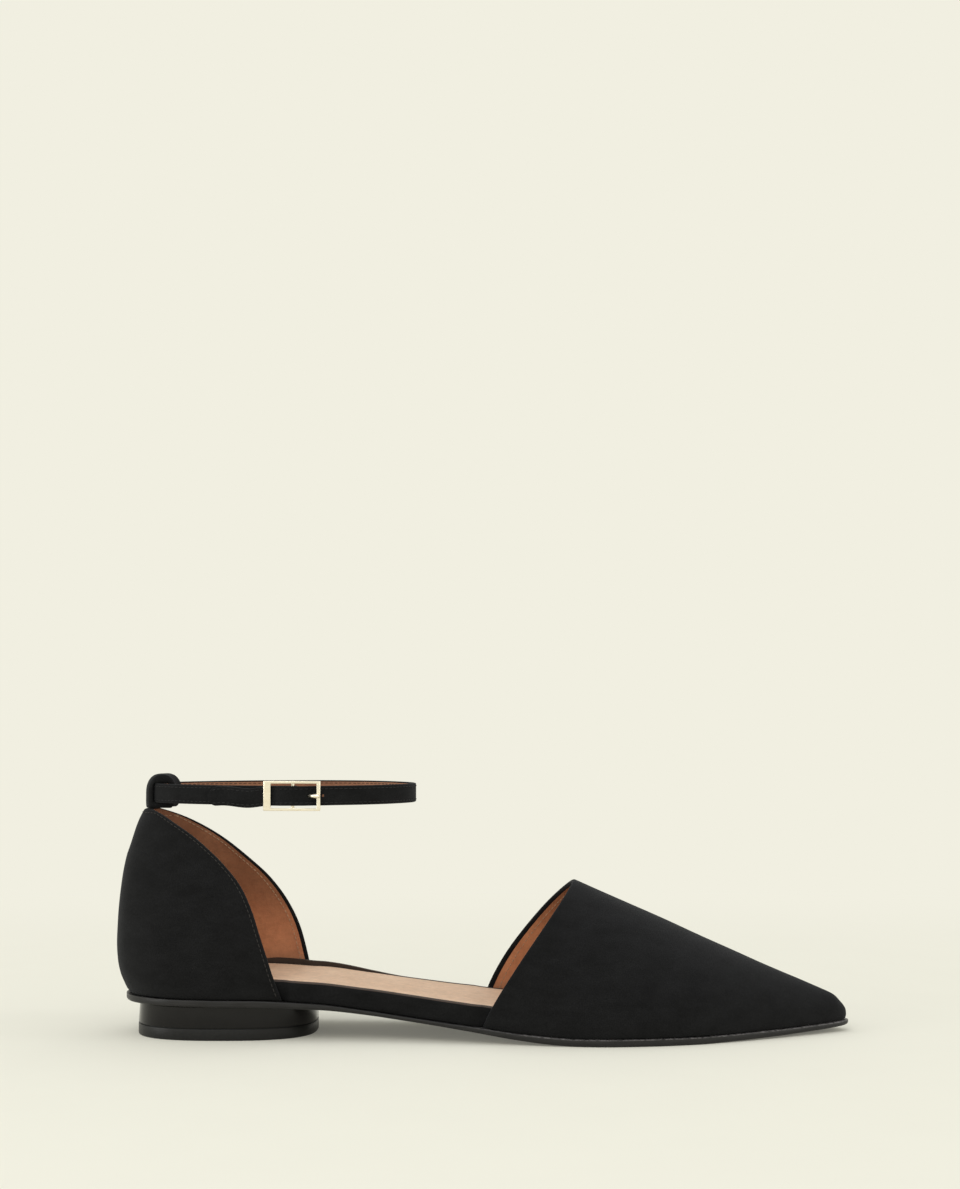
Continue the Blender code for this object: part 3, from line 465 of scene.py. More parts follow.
def outline_ring(inset, height, stations):
    """A closed ring along the feather line: back point, outer side, tip, inner side.

    `inset` is a length, or a function of x and side. `height` is a function of x and side.
    """
    sides = {side: inset_curve(side, inset) for side in (OUTER, INNER)}
    low = max(sides[side][0][0] for side in sides)
    high = min(sides[side][0][-1] for side in sides)
    x = low + (high - low) * stations
    rows = {}
    for side, (at, half) in sides.items():
        y = np.interp(x, at, half)
        y[0] = y[-1] = 0.0
        rows[side] = np.stack([x, side * y, height(x, side)], axis=1)
    return np.concatenate([rows[OUTER], rows[INNER][-2:0:-1]])


def inset_curve(side, inset):
    """Plan points (x, half-width) of one side's feather line, moved in and with no overlap."""
    fine = np.linspace(0, math.pi, 60 * OUTLINE_STEPS)
    plain_x = SEAT_BACK_X + SOLE_LENGTH * share_of(fine)
    depth = inset(plain_x, side) if callable(inset) else inset
    x, y = feather_curve(fine, side, depth)
    kept = np.flatnonzero(y > 0)
    x, y = x[kept[0] : kept[-1] + 1], y[kept[0] : kept[-1] + 1]
    ahead = np.maximum.accumulate(x) <= x
    return x[ahead], y[ahead]


def superellipse(turn, length, width, corner):
    power = 2 / corner
    along = length / 2 * np.sign(np.cos(turn)) * np.abs(np.cos(turn)) ** power
    across = width / 2 * np.sign(np.sin(turn)) * np.abs(np.sin(turn)) ** power
    return along, across


def rounded_ring(length, width, corner, height):
    """A closed ring round the origin with a superellipse's outline, ordered as outline_ring."""
    turn = np.linspace(math.pi, 3 * math.pi, 2 * OUTLINE_STEPS + 1)[:-1]
    x, y = superellipse(turn, length, width, corner)
    return np.stack([x, y, height(x)], axis=1)


def quarter_front(side):
    """Where the quarter's front edge meets the sole."""
    return BACK_X + QUARTER_REACH * through(QUARTER_EDGE, 1 if side == OUTER else 2, 0.0)


def step_edges():
    """Where the insole's side starts and ends each step past a shell's edge."""
    edges = [WING_X - GAP - INSOLE_STEP, WING_X - GAP]
    for side in (OUTER, INNER):
        edges += [quarter_front(side) + GAP, quarter_front(side) + GAP + INSOLE_STEP]
    return edges


def covered_inset(x, side):
    """How far the insole's side lies in from the feather line: it clears both shells."""
    front = quarter_front(side) + GAP
    out = smooth_step(front, front + INSOLE_STEP, x)
    back = smooth_step(WING_X - GAP - INSOLE_STEP, WING_X - GAP, x)
    return WALL + INSOLE_GAP - (WALL + INSOLE_GAP - INSOLE_WAIST_INSET) * (out - back)


def flared(ring, share):
    """The ring with its heel end opened out as the counter opens at this share of height."""
    overhang, widening = cup_at(share)
    front = BACK_X + QUARTER_REACH
    fade = 1 - smooth_step(front - 2 * INSOLE_STEP, front + 2 * INSOLE_STEP, ring[:, 0])
    moved = ring.copy()
    moved[:, 0] -= overhang * cup_fade(ring[:, 0])
    moved[:, 1] *= 1 + (widening - 1) * fade
    return moved


def cup_at(share):
    """The counter's overhang and widening at this share of its height."""
    return COUNTER_TUCK * through(CUP_PROFILE, 1, share), through(CUP_PROFILE, 2, share)


def cup_fade(x):
    return np.clip(1 - (x - SEAT_BACK_X) / CUP_LENGTH, 0.0, 1.0)


def crest_point(x):
    """Height of the vamp's ridge over the sole, at x."""
    rows = [(math.sqrt(1 - share), height) for share, height in reversed(CREST)]
    rest = np.sqrt(np.clip((TIP_X - x) / VAMP_LENGTH, 0.0, 1.0))
    return INSTEP_HEIGHT * through(rows, 1, rest)


def vamp_grid(inset, share):
    """Sections of the vamp at these shares of its way, from outer to inner feather line."""
    first_turn = float(turn_of(sole_share(WING_X)))
    turn = first_turn + (math.pi - first_turn) * share

    def ridge(at):
        foot = SEAT_BACK_X + SOLE_LENGTH * share_of(first_turn + (math.pi - first_turn) * at)
        lead = (THROAT_X - WING_X) * np.clip(1 - at, 0.0, 1.0) ** THROAT_FADE
        x = np.minimum(foot + lead, TIP_X)
        return x, seat_for_upper(x) + crest_point(x)

    small = 1e-3
    ahead = ridge(np.minimum(share + small, 1.0))
    behind = ridge(np.maximum(share - small, 0.0))
    dx, dz = ahead[0] - behind[0], ahead[1] - behind[1]
    length = np.hypot(dx, dz)
    ridge_x, ridge_z = ridge(share)
    ridge_x = ridge_x + inset * dz / length
    ridge_z = ridge_z - inset * dx / length
    halves = {}
    shapes = ((OUTER, OUTER_SLOPE, OUTER_SWEEP), (INNER, INNER_SLOPE, INNER_SWEEP))
    for side, slope, sweep in shapes:
        foot_x, _ = feather_curve(turn, side, inset)
        foot_z = seat_for_upper(foot_x)
        plan_x, plan_y = inset_curve(side, inset)
        angle = np.linspace(0, math.pi / 2, SECTION_STEPS + 1)
        rise = np.sin(angle)
        across = np.clip(np.cos(angle), 0.0, 1.0) ** slope * (1 + SIDE_SWELL * np.sin(2 * angle))
        across[-1] = 0.0
        x = foot_x[:, None] + (ridge_x - foot_x)[:, None] * rise**sweep
        y = side * np.interp(x, plan_x, plan_y) * across
        y[-1] = 0.0
        z = foot_z[:, None] + (ridge_z - foot_z)[:, None] * rise
        halves[side] = np.stack([x, y, z], axis=2)
    return np.concatenate([halves[OUTER], halves[INNER][:, -2::-1]], axis=1)


def quarter_top():
    """Height of the collar at the back."""
    return seat_for_upper(SEAT_BACK_X) + COUNTER_HEIGHT


def strap_back():
    """Where the strap's wall has its middle at the back, measured from the collar."""
    overhang, _ = cup_at(1.0)
    return SEAT_BACK_X - overhang + STRAP_SETBACK


def strap_middle():
    """The middle of the strap's height: the loop's foot stands on the quarter under it."""
    return quarter_top() + GAP + LOOP_FOOT + LOOP_ROOM + STRAP_HEIGHT / 2


class StrapRing:
    """The strap's closed centre line in plan, by length run from the back over the inner side."""

    def __init__(self):
        turn = np.linspace(0, math.pi, 4 * STRAP_STEPS)
        rows = [(float(turn_of(row[0])), row[1]) for row in STRAP_RING]
        x = strap_back() + STRAP_RING_LENGTH * share_of(turn)
        y = STRAP_RING_WIDTH * through(rows, 1, turn)
        self.x = np.concatenate([x, x[-2::-1]])
        self.y = np.concatenate([y, -y[-2::-1]])
        run = np.hypot(np.diff(self.x), np.diff(self.y))
        self.run = np.concatenate([[0.0], np.cumsum(run)])
        self.total = self.run[-1]

    def outer_run_at(self, x):
        """The length run at which the outer side passes x."""
        half = len(self.x) // 2
        return float(np.interp(-x, -self.x[half:], self.run[half:]))

    def centre(self, run):
        run = run % self.total
        return np.array([np.interp(run, self.run, row) for row in (self.x, self.y)])

    def out(self, run):
        """The unit direction out of the ring at this run."""
        step = self.total / (8 * STRAP_STEPS)
        along = self.centre(run + step) - self.centre(run - step)
        return np.array([-along[1], along[0]]) / np.linalg.norm(along)

    def at(self, run, offset):
        """The plan point at this run, moved out of the ring by offset."""
        return self.centre(run) + offset * self.out(run)


# Places across the buckle, out from the strap's centre line
FOLD_RADIUS = CENTRE_BAR_RADIUS + GAP + FOLD_THICKNESS / 2
BAR_OFFSET = FOLD_RADIUS
OVER_BAR = BAR_OFFSET + FOLD_RADIUS + FOLD_THICKNESS / 2 + GAP + STRAP_THICKNESS / 2
LAYER = STRAP_THICKNESS + GAP
FRAME_OFFSET = LAYER + STRAP_THICKNESS / 2 + GAP + FRAME_THICKNESS / 2


def forward_of(out):
    """The unit direction in plan square to `out` that points towards the toe."""
    forward = np.array([-out[1], out[0]])
    return forward if forward[0] > 0 else -forward


def strap_route(ring):
    """Rows (plan point, thickness) from the folded short end round to the free tip."""
    bar = ring.outer_run_at(strap_back() + BUCKLE_REACH)
    half = FRAME_LENGTH / 2
    out = ring.out(bar)
    forward = forward_of(out)
    rows = []
    for back in (FOLD_RETURN, FOLD_RETURN / 2):
        rows.append((ring.at(bar + back, BAR_OFFSET + FOLD_RADIUS), FOLD_THICKNESS))
    for turn in np.linspace(0, math.pi, ROUND_STEPS // 2 + 3):
        step = FOLD_RADIUS * (math.cos(turn) * out + math.sin(turn) * forward)
        rows.append((ring.at(bar, BAR_OFFSET) + step, FOLD_THICKNESS))
    inner_layer = BAR_OFFSET - FOLD_RADIUS
    for back, inward, full in SKIVE:
        thick = FOLD_THICKNESS + (STRAP_THICKNESS - FOLD_THICKNESS) * full
        rows.append((ring.at(bar + back * SKIVE_LENGTH, inner_layer * (1 - inward)), thick))
    first = bar + SKIVE_LENGTH + FOLD_RETURN
    last = ring.total + bar - 2 * half
    for run in np.linspace(first, last, STRAP_STEPS):
        rows.append((ring.at(run, 0.0), STRAP_THICKNESS))
    for step, layer, over in WEAVE:
        offset = layer * LAYER + over * OVER_BAR
        rows.append((ring.at(ring.total + bar + step * half, offset), STRAP_THICKNESS))
    for step in np.linspace(2 * half, FREE_END_REACH, 4):
        rows.append((ring.at(ring.total + bar + step, LAYER), STRAP_THICKNESS))
    return rows


class BuckleFrame:
    """Axes at the centre bar: forward along the strap, out of the ring, and up."""

    def __init__(self, ring):
        bar = ring.outer_run_at(strap_back() + BUCKLE_REACH)
        out = ring.out(bar)
        self.out = np.array([*out, 0.0])
        self.forward = np.array([*forward_of(out), 0.0])
        self.up = np.array([0.0, 0.0, 1.0])
        self.centre = np.array([*ring.centre(bar), strap_middle()])

    def place(self, forward, out, up):
        return self.centre + forward * self.forward + out * self.out + up * self.up


def quarter_row(share, side, inset, from_edge=None):
    """One level of the quarter on one side, from the back to its front edge, closer at the edge.

    Given `from_edge`, the points lie at those distances back from the edge instead.
    """
    overhang, widening = cup_at(share)
    column = 1 if side == OUTER else 2
    edge = BACK_X + QUARTER_REACH * through(QUARTER_EDGE, column, share)
    # The feather point that the overhang carries to the edge.
    lean = overhang / CUP_LENGTH
    start = (edge + overhang + lean * SEAT_BACK_X) / (1 + lean)
    fine = np.linspace(0, float(turn_of(sole_share(start))), 6 * QUARTER_STEPS)

    def plan(at):
        x = SEAT_BACK_X + SOLE_LENGTH * share_of(at)
        y = widening * feather_half_width(np.abs(at), side)
        return x - overhang * cup_fade(x), np.where(at < 0, -y, y)

    fine_x, fine_y = plan(fine)
    run = run_along(np.stack([fine_x, fine_y], axis=1))
    if from_edge is None:
        close = WALL / 2 * np.array(EDGE_STEPS[::-1])
        spread = np.linspace(0, run[-1] - close[0], QUARTER_STEPS + 1)
        places = np.concatenate([spread, run[-1] - close[1:]])
    else:
        places = run[-1] - np.asarray(from_edge)
    turn = np.interp(places, run, fine)
    small = 1e-3
    x, y = plan(turn)
    ahead, behind = plan(turn + small), plan(turn - small)
    dx, dy = ahead[0] - behind[0], ahead[1] - behind[1]
    length = np.hypot(dx, dy)
    z = seat_for_upper(x) + share * COUNTER_HEIGHT
    return np.stack([x + inset * dy / length, side * (y - inset * dx / length), z], axis=1)


def quarter_grid(inset):
    close = 1 - WALL / 2 * np.array(EDGE_STEPS[::-1]) / COUNTER_HEIGHT
    shares = np.concatenate([np.linspace(0, close[0], 2 * SECTION_STEPS), close[1:]])
    rows = []
    for share in shares:
        outer = quarter_row(share, OUTER, inset)
        inner = quarter_row(share, INNER, inset)
        rows.append(np.concatenate([outer[::-1], inner[1:]]))
    return np.array(rows)


def run_along(points):
    """Length run along a line of points, from its start."""
    steps = np.linalg.norm(np.diff(points, axis=0), axis=1)
    return np.concatenate([[0.0], np.cumsum(steps)])


def evenly(points, facing, pitch=STITCH_PITCH):
    """Places spread along a line at the pitch, and the unit directions along it and facing out."""
    run = run_along(points)
    count = max(2, round(run[-1] / pitch))
    at = (np.arange(count) + 0.5) * run[-1] / count
    small = pitch / 4

    def read(rows, where):
        return np.stack([np.interp(where, run, rows[:, i]) for i in range(3)], axis=1)

    def unit(rows):
        return rows / np.linalg.norm(rows, axis=1)[:, None]

    along = unit(read(points, at + small) - read(points, at - small))
    return read(points, at), along, unit(read(facing, at))


def softened(points, amount, size):
    """The points moved by a smooth field, as hand-lasted material never lies quite true."""
    moved = []
    for point in points.reshape(-1, 3):
        place = Vector(point)
        moved.append(place + amount * noise.noise_vector(place / size))
    return np.array(moved).reshape(points.shape)


def piece(name, points, faces, finishes, slots=None, nodes=(), sharp=40):
    """A smooth-shaded piece that rides on the shoe's one body and stands for the nodes."""
    mesh = bpy.data.meshes.new(name)
    mesh.from_pydata([tuple(map(float, point)) for point in points], [], faces)
    for finish in finishes:
        mesh.materials.append(finish)
    if slots is not None:
        mesh.polygons.foreach_set("material_index", slots)
    made = bmesh.new()
    made.from_mesh(mesh)
    bmesh.ops.remove_doubles(made, verts=made.verts, dist=1e-6)
    bmesh.ops.dissolve_degenerate(made, edges=made.edges, dist=1e-7)
    bmesh.ops.recalc_face_normals(made, faces=made.faces)
    made.to_mesh(mesh)
    made.free()
    mesh.shade_smooth()
    mesh.set_sharp_from_angle(angle=math.radians(sharp))
    placed = bpy.data.objects.new(name, mesh)
    bpy.context.scene.collection.objects.link(placed)
    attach(placed, "root")
    if nodes:
        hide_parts(*nodes)
    return placed


def bands(levels, count, start=0):
    """The faces between rings of `count` points that follow each other from `start`."""
    faces = []
    for level in range(levels - 1):
        low, high = start + level * count, start + (level + 1) * count
        for i in range(count):
            j = (i + 1) % count
            faces.append((low + i, low + j, high + j, high + i))
    return faces


def ring_piece(name, rings, finishes, level_slots=None, nodes=(), sharp=40):
    """A closed solid through rings of equal count.

    `level_slots` gives the finish of the lower end, of each band and of the upper end.
    """
    count = len(rings[0])
    last = len(rings) - 1
    level_slots = level_slots or [0] * (last + 2)
    faces = bands(len(rings), count)
    slots = [level_slots[level + 1] for level in range(last) for _ in range(count)]
    for start, finish in ((0, level_slots[0]), (last * count, level_slots[-1])):
        for i in range(count // 2):
            corners = (i, i + 1, count - i - 1, (count - i) % count)
            faces.append(tuple(start + corner for corner in dict.fromkeys(corners)))
            slots.append(finish)
    return piece(name, np.concatenate(rings), faces, finishes, slots, nodes, sharp)


def lined_shell(name, outside, inside, distance, wall, finishes, slot, **ends):
    """A wall between two grids, round along its free edges and lined within.

    `distance` is each point's distance to the free edge. The faces of the inside that lie more
    than the turned edge away from it get the second finish. `tuck` draws the outside in where
    it meets the sole. `tube` says that the rows are closed rings, `tip` that the last row folds
    onto itself.
    """
    radius = wall / 2
    near = np.clip(radius - distance, 0, radius)
    weight = (radius - np.sqrt(radius**2 - near**2)) / wall
    rise = outside[..., 2] - seat_for_upper(outside[..., 0])
    tuck = ends.get("tuck", 0.0) * np.clip(1 - rise / FEATHER_RISE, 0, 1) ** 2 / wall
    outer = outside + (inside - outside) * np.minimum(weight + tuck, 0.5)[..., None]
    inner = inside + (outside - inside) * weight[..., None]
    rows, columns = outside.shape[:2]
    offset = rows * columns
    faces, slots = [], []
    for i in range(rows - 1):
        for j in range(columns - 1):
            a = i * columns + j
            quad = (a, a + 1, a + columns + 1, a + columns)
            faces.append(quad)
            faces.append(tuple(k + offset for k in quad[::-1]))
            lined = distance[i : i + 2, j : j + 2].min() >= TURNED_EDGE
            slots += [0, int(lined)]

    def strip(corners):
        for a, b in zip(corners[:-1], corners[1:]):
            faces.append((a, b, b + offset, a + offset))
            slots.append(0)

    strip(list(range(columns)))
    if not ends.get("tube"):
        strip([i * columns for i in range(rows)])
        strip([i * columns + columns - 1 for i in range(rows)])
    if not ends.get("tip"):
        strip([(rows - 1) * columns + j for j in range(columns)])
    points = np.concatenate([outer.reshape(-1, 3), inner.reshape(-1, 3)])
    points = softened(points, SOFT_DEPTH, SOFT_SIZE)
    return piece(name, points, faces, finishes, slots, ends.get("nodes", ()), 50)


def stitch_row(name, centres, along, out, finish):
    """Short stitches of thread, one at each centre, lying along a seam."""
    # share of the stitch's length from its middle, share of the thread's radius
    stations = ((-0.50, 0.25), (-0.36, 0.85), (0.0, 1.0), (0.36, 0.85), (0.50, 0.25))
    sides = 6
    points, faces = [], []
    for centre, forward, outward in zip(centres, along, out):
        across = np.cross(forward, outward)
        base = len(points)
        for share, thick in stations:
            for k in range(sides):
                turn = 2 * math.pi * k / sides
                arm = math.cos(turn) * outward + math.sin(turn) * across
                place = centre + share * STITCH_LENGTH * forward
                points.append(place + THREAD_RADIUS * thick * arm)
        faces += bands(len(stations), sides, base)
        faces.append(tuple(base + k for k in range(sides)))
        faces.append(tuple(base + (len(stations) - 1) * sides + k for k in range(sides)))
    return piece(name, points, faces, [finish], sharp=70)


def upper_quarter(suede, lining, thread):
    outside, inside = quarter_grid(0.0), quarter_grid(WALL)
    borders = (outside[:, :1], outside[:, -1:], outside[-1:])
    distance = np.minimum.reduce([np.linalg.norm(outside - edge, axis=2) for edge in borders])
    lined_shell(
        "quarter_shell", outside, inside, distance, WALL, [suede, lining], "black_suede",
        tuck=FEATHER_TUCK, nodes=("upper_quarter",),
    )
    seam = quarter_seam(STITCH_INSET, -THREAD_LIFT, WALL)
    stitch_row("quarter_stitches", *evenly(*seam), thread[0])
    seam = quarter_seam(LINING_SEAM, WALL + THREAD_LIFT, 0.0)
    stitch_row("quarter_lining_stitches", *evenly(*seam), thread[1])


def quarter_seam(from_edge, inset, other):
    """A seam along the collar's edge, up one side, round the back and down the other.

    It lies at one inset and faces away from the other.
    """
    top = 1 - from_edge / COUNTER_HEIGHT
    shares = np.linspace(SEAM_START, top, SEAM_STEPS)
    lines = []
    for inset in (inset, other):
        sides = []
        for side in (OUTER, INNER):
            edge = [quarter_row(share, side, inset, [from_edge])[0] for share in shares]
            back = quarter_row(top, side, inset)[:QUARTER_STEPS]
            sides.append(np.concatenate([np.array(edge), back[::-1]]))
        lines.append(np.concatenate([sides[0], sides[1][-2::-1]]))
    return lines[0], lines[0] - lines[1]


def vamp_shares():
    close = WALL / 2 * np.array(EDGE_STEPS) / VAMP_RUN
    return np.concatenate([close[:-1], np.linspace(close[-1], 1, SHELL_STEPS)])


def upper_vamp(suede, lining, thread):
    shares = vamp_shares()
    outside, inside = vamp_grid(0.0, shares), vamp_grid(WALL, shares)
    distance = np.repeat(VAMP_RUN * shares[:, None], outside.shape[1], axis=1)
    lined_shell(
        "vamp_shell", outside, inside, distance, WALL, [suede, lining], "black_suede",
        tuck=FEATHER_TUCK, tip=True, nodes=("upper_vamp",),
    )
    shares = np.array([LINING_SEAM / VAMP_RUN, 1.0])
    line = vamp_grid(WALL + THREAD_LIFT, shares)[0][1:-1]
    facing = line - vamp_grid(0.0, shares)[0][1:-1]
    stitch_row("vamp_lining_stitches", *evenly(line, facing), thread)


def quarter_round(radius, steps=4):
    """(inset, rise) pairs of a rounded lower edge, from the underside out to the side."""
    turns = np.linspace(0, math.pi / 2, steps + 1)
    return [(radius * (1 - math.sin(turn)), radius * (1 - math.cos(turn))) for turn in turns]


def outsole(finishes):
    def ring(inset, height):
        return outline_ring(inset - SOLE_PROUD, lambda x, side: height(x), plain_stations())

    rings = []
    for inset, rise in quarter_round(SOLE_EDGE_ROUND):
        rings.append(ring(inset, lambda x, rise=rise: sole_underside(x) + rise))
    for inset, fall in reversed(quarter_round(SOLE_TOP_ROUND, 2)):
        rings.append(ring(inset, lambda x, fall=fall: sole_top(x) - fall))
    # The top rounding and the top face take the finish with the painted highlight.
    painted_highlight = [0] * (len(rings) - 2) + [1, 1, 1]
    ring_piece("sole_leather_edge", rings, finishes, painted_highlight, ("outsole",))


def heel(block_finish, top_piece_finish):
    def ring(inset, height):
        return rounded_ring(HEEL_LENGTH - 2 * inset, HEEL_WIDTH - 2 * inset, HEEL_CORNER, height)

    def level(z):
        return lambda x: 0.0 * x + z

    rings = [ring(inset, level(rise)) for inset, rise in quarter_round(TOP_PIECE_ROUND)]
    for inset, fall in reversed(quarter_round(HEEL_SEAM_ROUND, 2)):
        rings.append(ring(inset, level(TOP_PIECE_THICKNESS - fall)))
    ring_piece("heel_wear_layer", rings, [top_piece_finish], nodes=("heel_top_piece",))
    foot = TOP_PIECE_THICKNESS + GAP
    rings = [ring(inset, level(foot + rise)) for inset, rise in quarter_round(HEEL_SEAM_ROUND, 2)]
    rings.append(ring(HEEL_DRAFT, lambda x: sole_underside(x) - GAP / 2))
    ring_piece("heel_gloss_block", rings, [block_finish], nodes=("heel_block",))
    joint = [ring(TOP_PIECE_ROUND, level(z)) for z in (TOP_PIECE_THICKNESS - GAP, foot + GAP)]
    ring_piece("heel_glue_line", joint, [top_piece_finish])


def insole(finishes):
    """The padded board: its wrapped side, its rounded rim and the bed of the sock."""
    stations = insole_stations()
    stands = insole_top(SEAT_BACK_X) - seat_for_upper(SEAT_BACK_X)

    def ring(more, low_share, drop, raised):
        def inset(x, side):
            return covered_inset(x, side) + more

        def height(x, side):
            base, top = seat_for_upper(x), insole_top(x)
            return base + (top - base) * low_share - drop + (lip(x, side) if raised else 0.0)

        opened = max(0.0, stands * low_share - drop) / COUNTER_HEIGHT
        return flared(outline_ring(inset, height, stations), opened)

    bed = SOCK_THICKNESS + GAP
    rings = [ring(INSOLE_FOOT_TUCK, 0.0, 0.0, False), ring(0.0, 0.25, 0.0, False)]
    for inset, fall in reversed(quarter_round(INSOLE_EDGE_ROUND)):
        rings.append(ring(inset, 1.0, fall, True))
    rim = RIM_WIDTH + INSOLE_EDGE_ROUND
    rings.append(ring(rim, 1.0, 0.0, True))
    rings.append(ring(rim, 1.0, bed, False))
    # The second finish shows on the rim, inward from the top of its rounding.
    level_slots = [0] * 5 + [1] * (len(rings) - 5) + [0]
    ring_piece("wrapped_insole", rings, finishes, level_slots, ("insole",))


def sock(finish, line_finish):
    """The lining laid in the insole's bed, with a darker line along its cut edge."""
    stations = insole_stations()
    stands = insole_top(SEAT_BACK_X) - seat_for_upper(SEAT_BACK_X)
    opened = (stands - SOCK_THICKNESS - GAP) / COUNTER_HEIGHT

    def ring(more, drop):
        def inset(x, side):
            return covered_inset(x, side) + RIM_WIDTH + INSOLE_EDGE_ROUND + GAP + more

        return flared(outline_ring(inset, lambda x, side: insole_top(x) - drop, stations), opened)

    rings = [ring(0.0, SOCK_THICKNESS), ring(0.0, SOCK_ROUND), ring(SOCK_ROUND, 0.0)]
    rings.append(ring(SOCK_LINE, 0.0))
    finishes, level_slots = [finish, line_finish], [0, 1, 1, 1, 0]
    ring_piece("sock_lining", rings, finishes, level_slots, ("sock",))


def heel_loop(suede):
    """The quarter's tab: a soft ring that stands on the quarter, bent round the heel."""
    back_x = strap_back() - STRAP_THICKNESS / 2 - 2 * GAP - LOOP_WALL
    centre_x = back_x + LOOP_LENGTH / 2
    centre_z = strap_middle()
    seat_z = quarter_top() + GAP
    turn = np.linspace(0, 2 * math.pi, 4 * ROUND_STEPS + 1)

    def section(length, height, corner):
        x, z = superellipse(turn, length, height, corner)
        return centre_x + x, centre_z + z

    outside_x, outside_z = section(LOOP_LENGTH, LOOP_HEIGHT, LOOP_ROUND)
    square_x, square_z = section(LOOP_LENGTH, LOOP_HEIGHT, LOOP_FOOT_CORNER)
    lower_back = (outside_x < centre_x) & (outside_z < centre_z)
    outside_x = np.where(lower_back, square_x, outside_x)
    outside_z = np.maximum(np.where(lower_back, square_z, outside_z), seat_z)
    inside_length, inside_height = LOOP_LENGTH - 2 * LOOP_WALL, STRAP_HEIGHT + 2 * LOOP_HUG
    inside_x, inside_z = section(inside_length, inside_height, LOOP_INSIDE_CORNER)
    half = LOOP_WIDTH / 2
    close = LOOP_WALL / 2 * np.array(EDGE_STEPS)
    middle = np.linspace(-half + close[-1], half - close[-1], ROUND_STEPS)
    stations = np.concatenate([-half + close[:-1], middle, half - close[-2::-1]])

    def grid(x_row, z_row):
        rows = []
        for y in stations:
            rows.append(np.stack([x_row + y * y / (2 * LOOP_BEND), 0 * x_row + y, z_row], axis=1))
        return np.array(rows)

    outside, inside = grid(outside_x, outside_z), grid(inside_x, inside_z)
    distance = np.repeat((half - np.abs(stations))[:, None], len(turn), axis=1)
    lined_shell(
        "heel_tab", outside, inside, distance, LOOP_WALL, [suede, suede], "black_suede",
        tube=True, nodes=("heel_loop",),
    )


def strap_line(ring):
    """The strap's middle, out vectors and thickness at an even pitch, with the run."""
    rows = strap_route(ring)
    middle = np.array([row[0] for row in rows])
    run = run_along(middle)
    at = np.linspace(0, run[-1], round(run[-1] / STRAP_PITCH))
    x, y = hermite(run, middle[:, 0], at), hermite(run, middle[:, 1], at)
    thick = np.interp(at, run, [row[1] for row in rows])
    along = np.gradient(np.stack([x, y], axis=1), axis=0)
    along /= np.linalg.norm(along, axis=1)[:, None]
    out = np.stack([-along[:, 1], along[:, 0], 0 * at], axis=1)
    left = run[-1] - at
    hang = FREE_END_DROP + FREE_END_WAVE * np.cos(2 * math.pi * (left / WAVE_LENGTH - WAVE_START))
    drop = hang * smooth_step(FREE_END_REACH, FREE_END_REACH / 2, left)
    centre = np.stack([x, y, strap_middle() - drop], axis=1)
    return centre, out, thick, left


def ankle_strap(ring, suede, lining, thread):
    centre, out, thick, left = strap_line(ring)
    half = STRAP_HEIGHT / 2
    tip = np.clip(1 - left / (TIP_ROUND * half), 0.0, 1.0)
    high = half * np.sqrt(np.clip(1 - tip**2, 0.03, 1.0))
    steps = 4  # points round each of the section's four corners
    count = 4 * steps
    points = []
    for k in range(len(centre)):
        radius = STRAP_EDGE_ROUND * thick[k]
        across, up = thick[k] / 2 - radius, high[k] - radius
        for corner, (a, u) in enumerate(((-1, -1), (1, -1), (1, 1), (-1, 1))):
            for step in range(steps):
                turn = math.pi * (1 + corner / 2 + step / (2 * (steps - 1)))
                side = a * across + radius * math.cos(turn)
                lift = u * up + radius * math.sin(turn)
                points.append(centre[k] + side * out[k] + (0, 0, lift))
    last = len(centre) - 1
    ends = [tuple(range(count)), tuple(last * count + i for i in range(count))]
    faces = [ends[0], *bands(len(centre), count), ends[1]]
    # The last side of each band faces into the ring and shows the lining.
    slots = [0, *([0] * (count - 1) + [1]) * last, 0]
    finishes = [suede, lining]
    strap = piece("strap_strip", points, faces, finishes, slots, ("ankle_strap",))
    punch(strap, centre, out, left)
    # Seams run along both edges, and the thread shows on both faces.
    seam = left > STITCH_INSET
    faced = (("strap_stitches", 1, thread[0]), ("strap_lining_stitches", -1, thread[1]))
    for name, side, finish in faced:
        rows = []
        for up in (-1, 1):
            lift = np.stack([0 * high, 0 * high, up * (high - STRAP_SEAM)], axis=1)
            line = centre + side * out * (thick / 2 + THREAD_LIFT)[:, None] + lift
            rows.append(evenly(line[seam], side * out[seam]))
        merged = [np.concatenate(group) for group in zip(*rows)]
        stitch_row(name, *merged, finish)


def punch(strap, centre, out, left):
    """Cuts the holes through the strap's long end, which is the nearest to its tip."""
    cutter = bmesh.new()
    for step in STRAP_HOLES:
        k = int(np.argmin(np.abs(left - (FREE_END_REACH + step))))
        place = Vector(centre[k])
        turn = Vector(out[k]).to_track_quat("Z", "Y").to_matrix().to_4x4()
        bmesh.ops.create_cone(
            cutter, cap_ends=True, segments=20, radius1=HOLE_RADIUS, radius2=HOLE_RADIUS,
            depth=1.5 * STRAP_THICKNESS, matrix=Matrix.Translation(place) @ turn,
        )
    mesh = bpy.data.meshes.new("punch")
    cutter.to_mesh(mesh)
    cutter.free()
    mesh.materials.append(strap.data.materials[0])
    tool = bpy.data.objects.new("punch", mesh)
    bpy.context.scene.collection.objects.link(tool)
    change = strap.modifiers.new("punch", "BOOLEAN")
    change.operation = "DIFFERENCE"
    change.solver = "EXACT"
    change.object = tool
    bpy.context.view_layer.update()
    cut = bpy.data.meshes.new_from_object(strap.evaluated_get(bpy.context.evaluated_depsgraph_get()))
    strap.modifiers.clear()
    strap.data = cut
    bpy.data.objects.remove(tool)


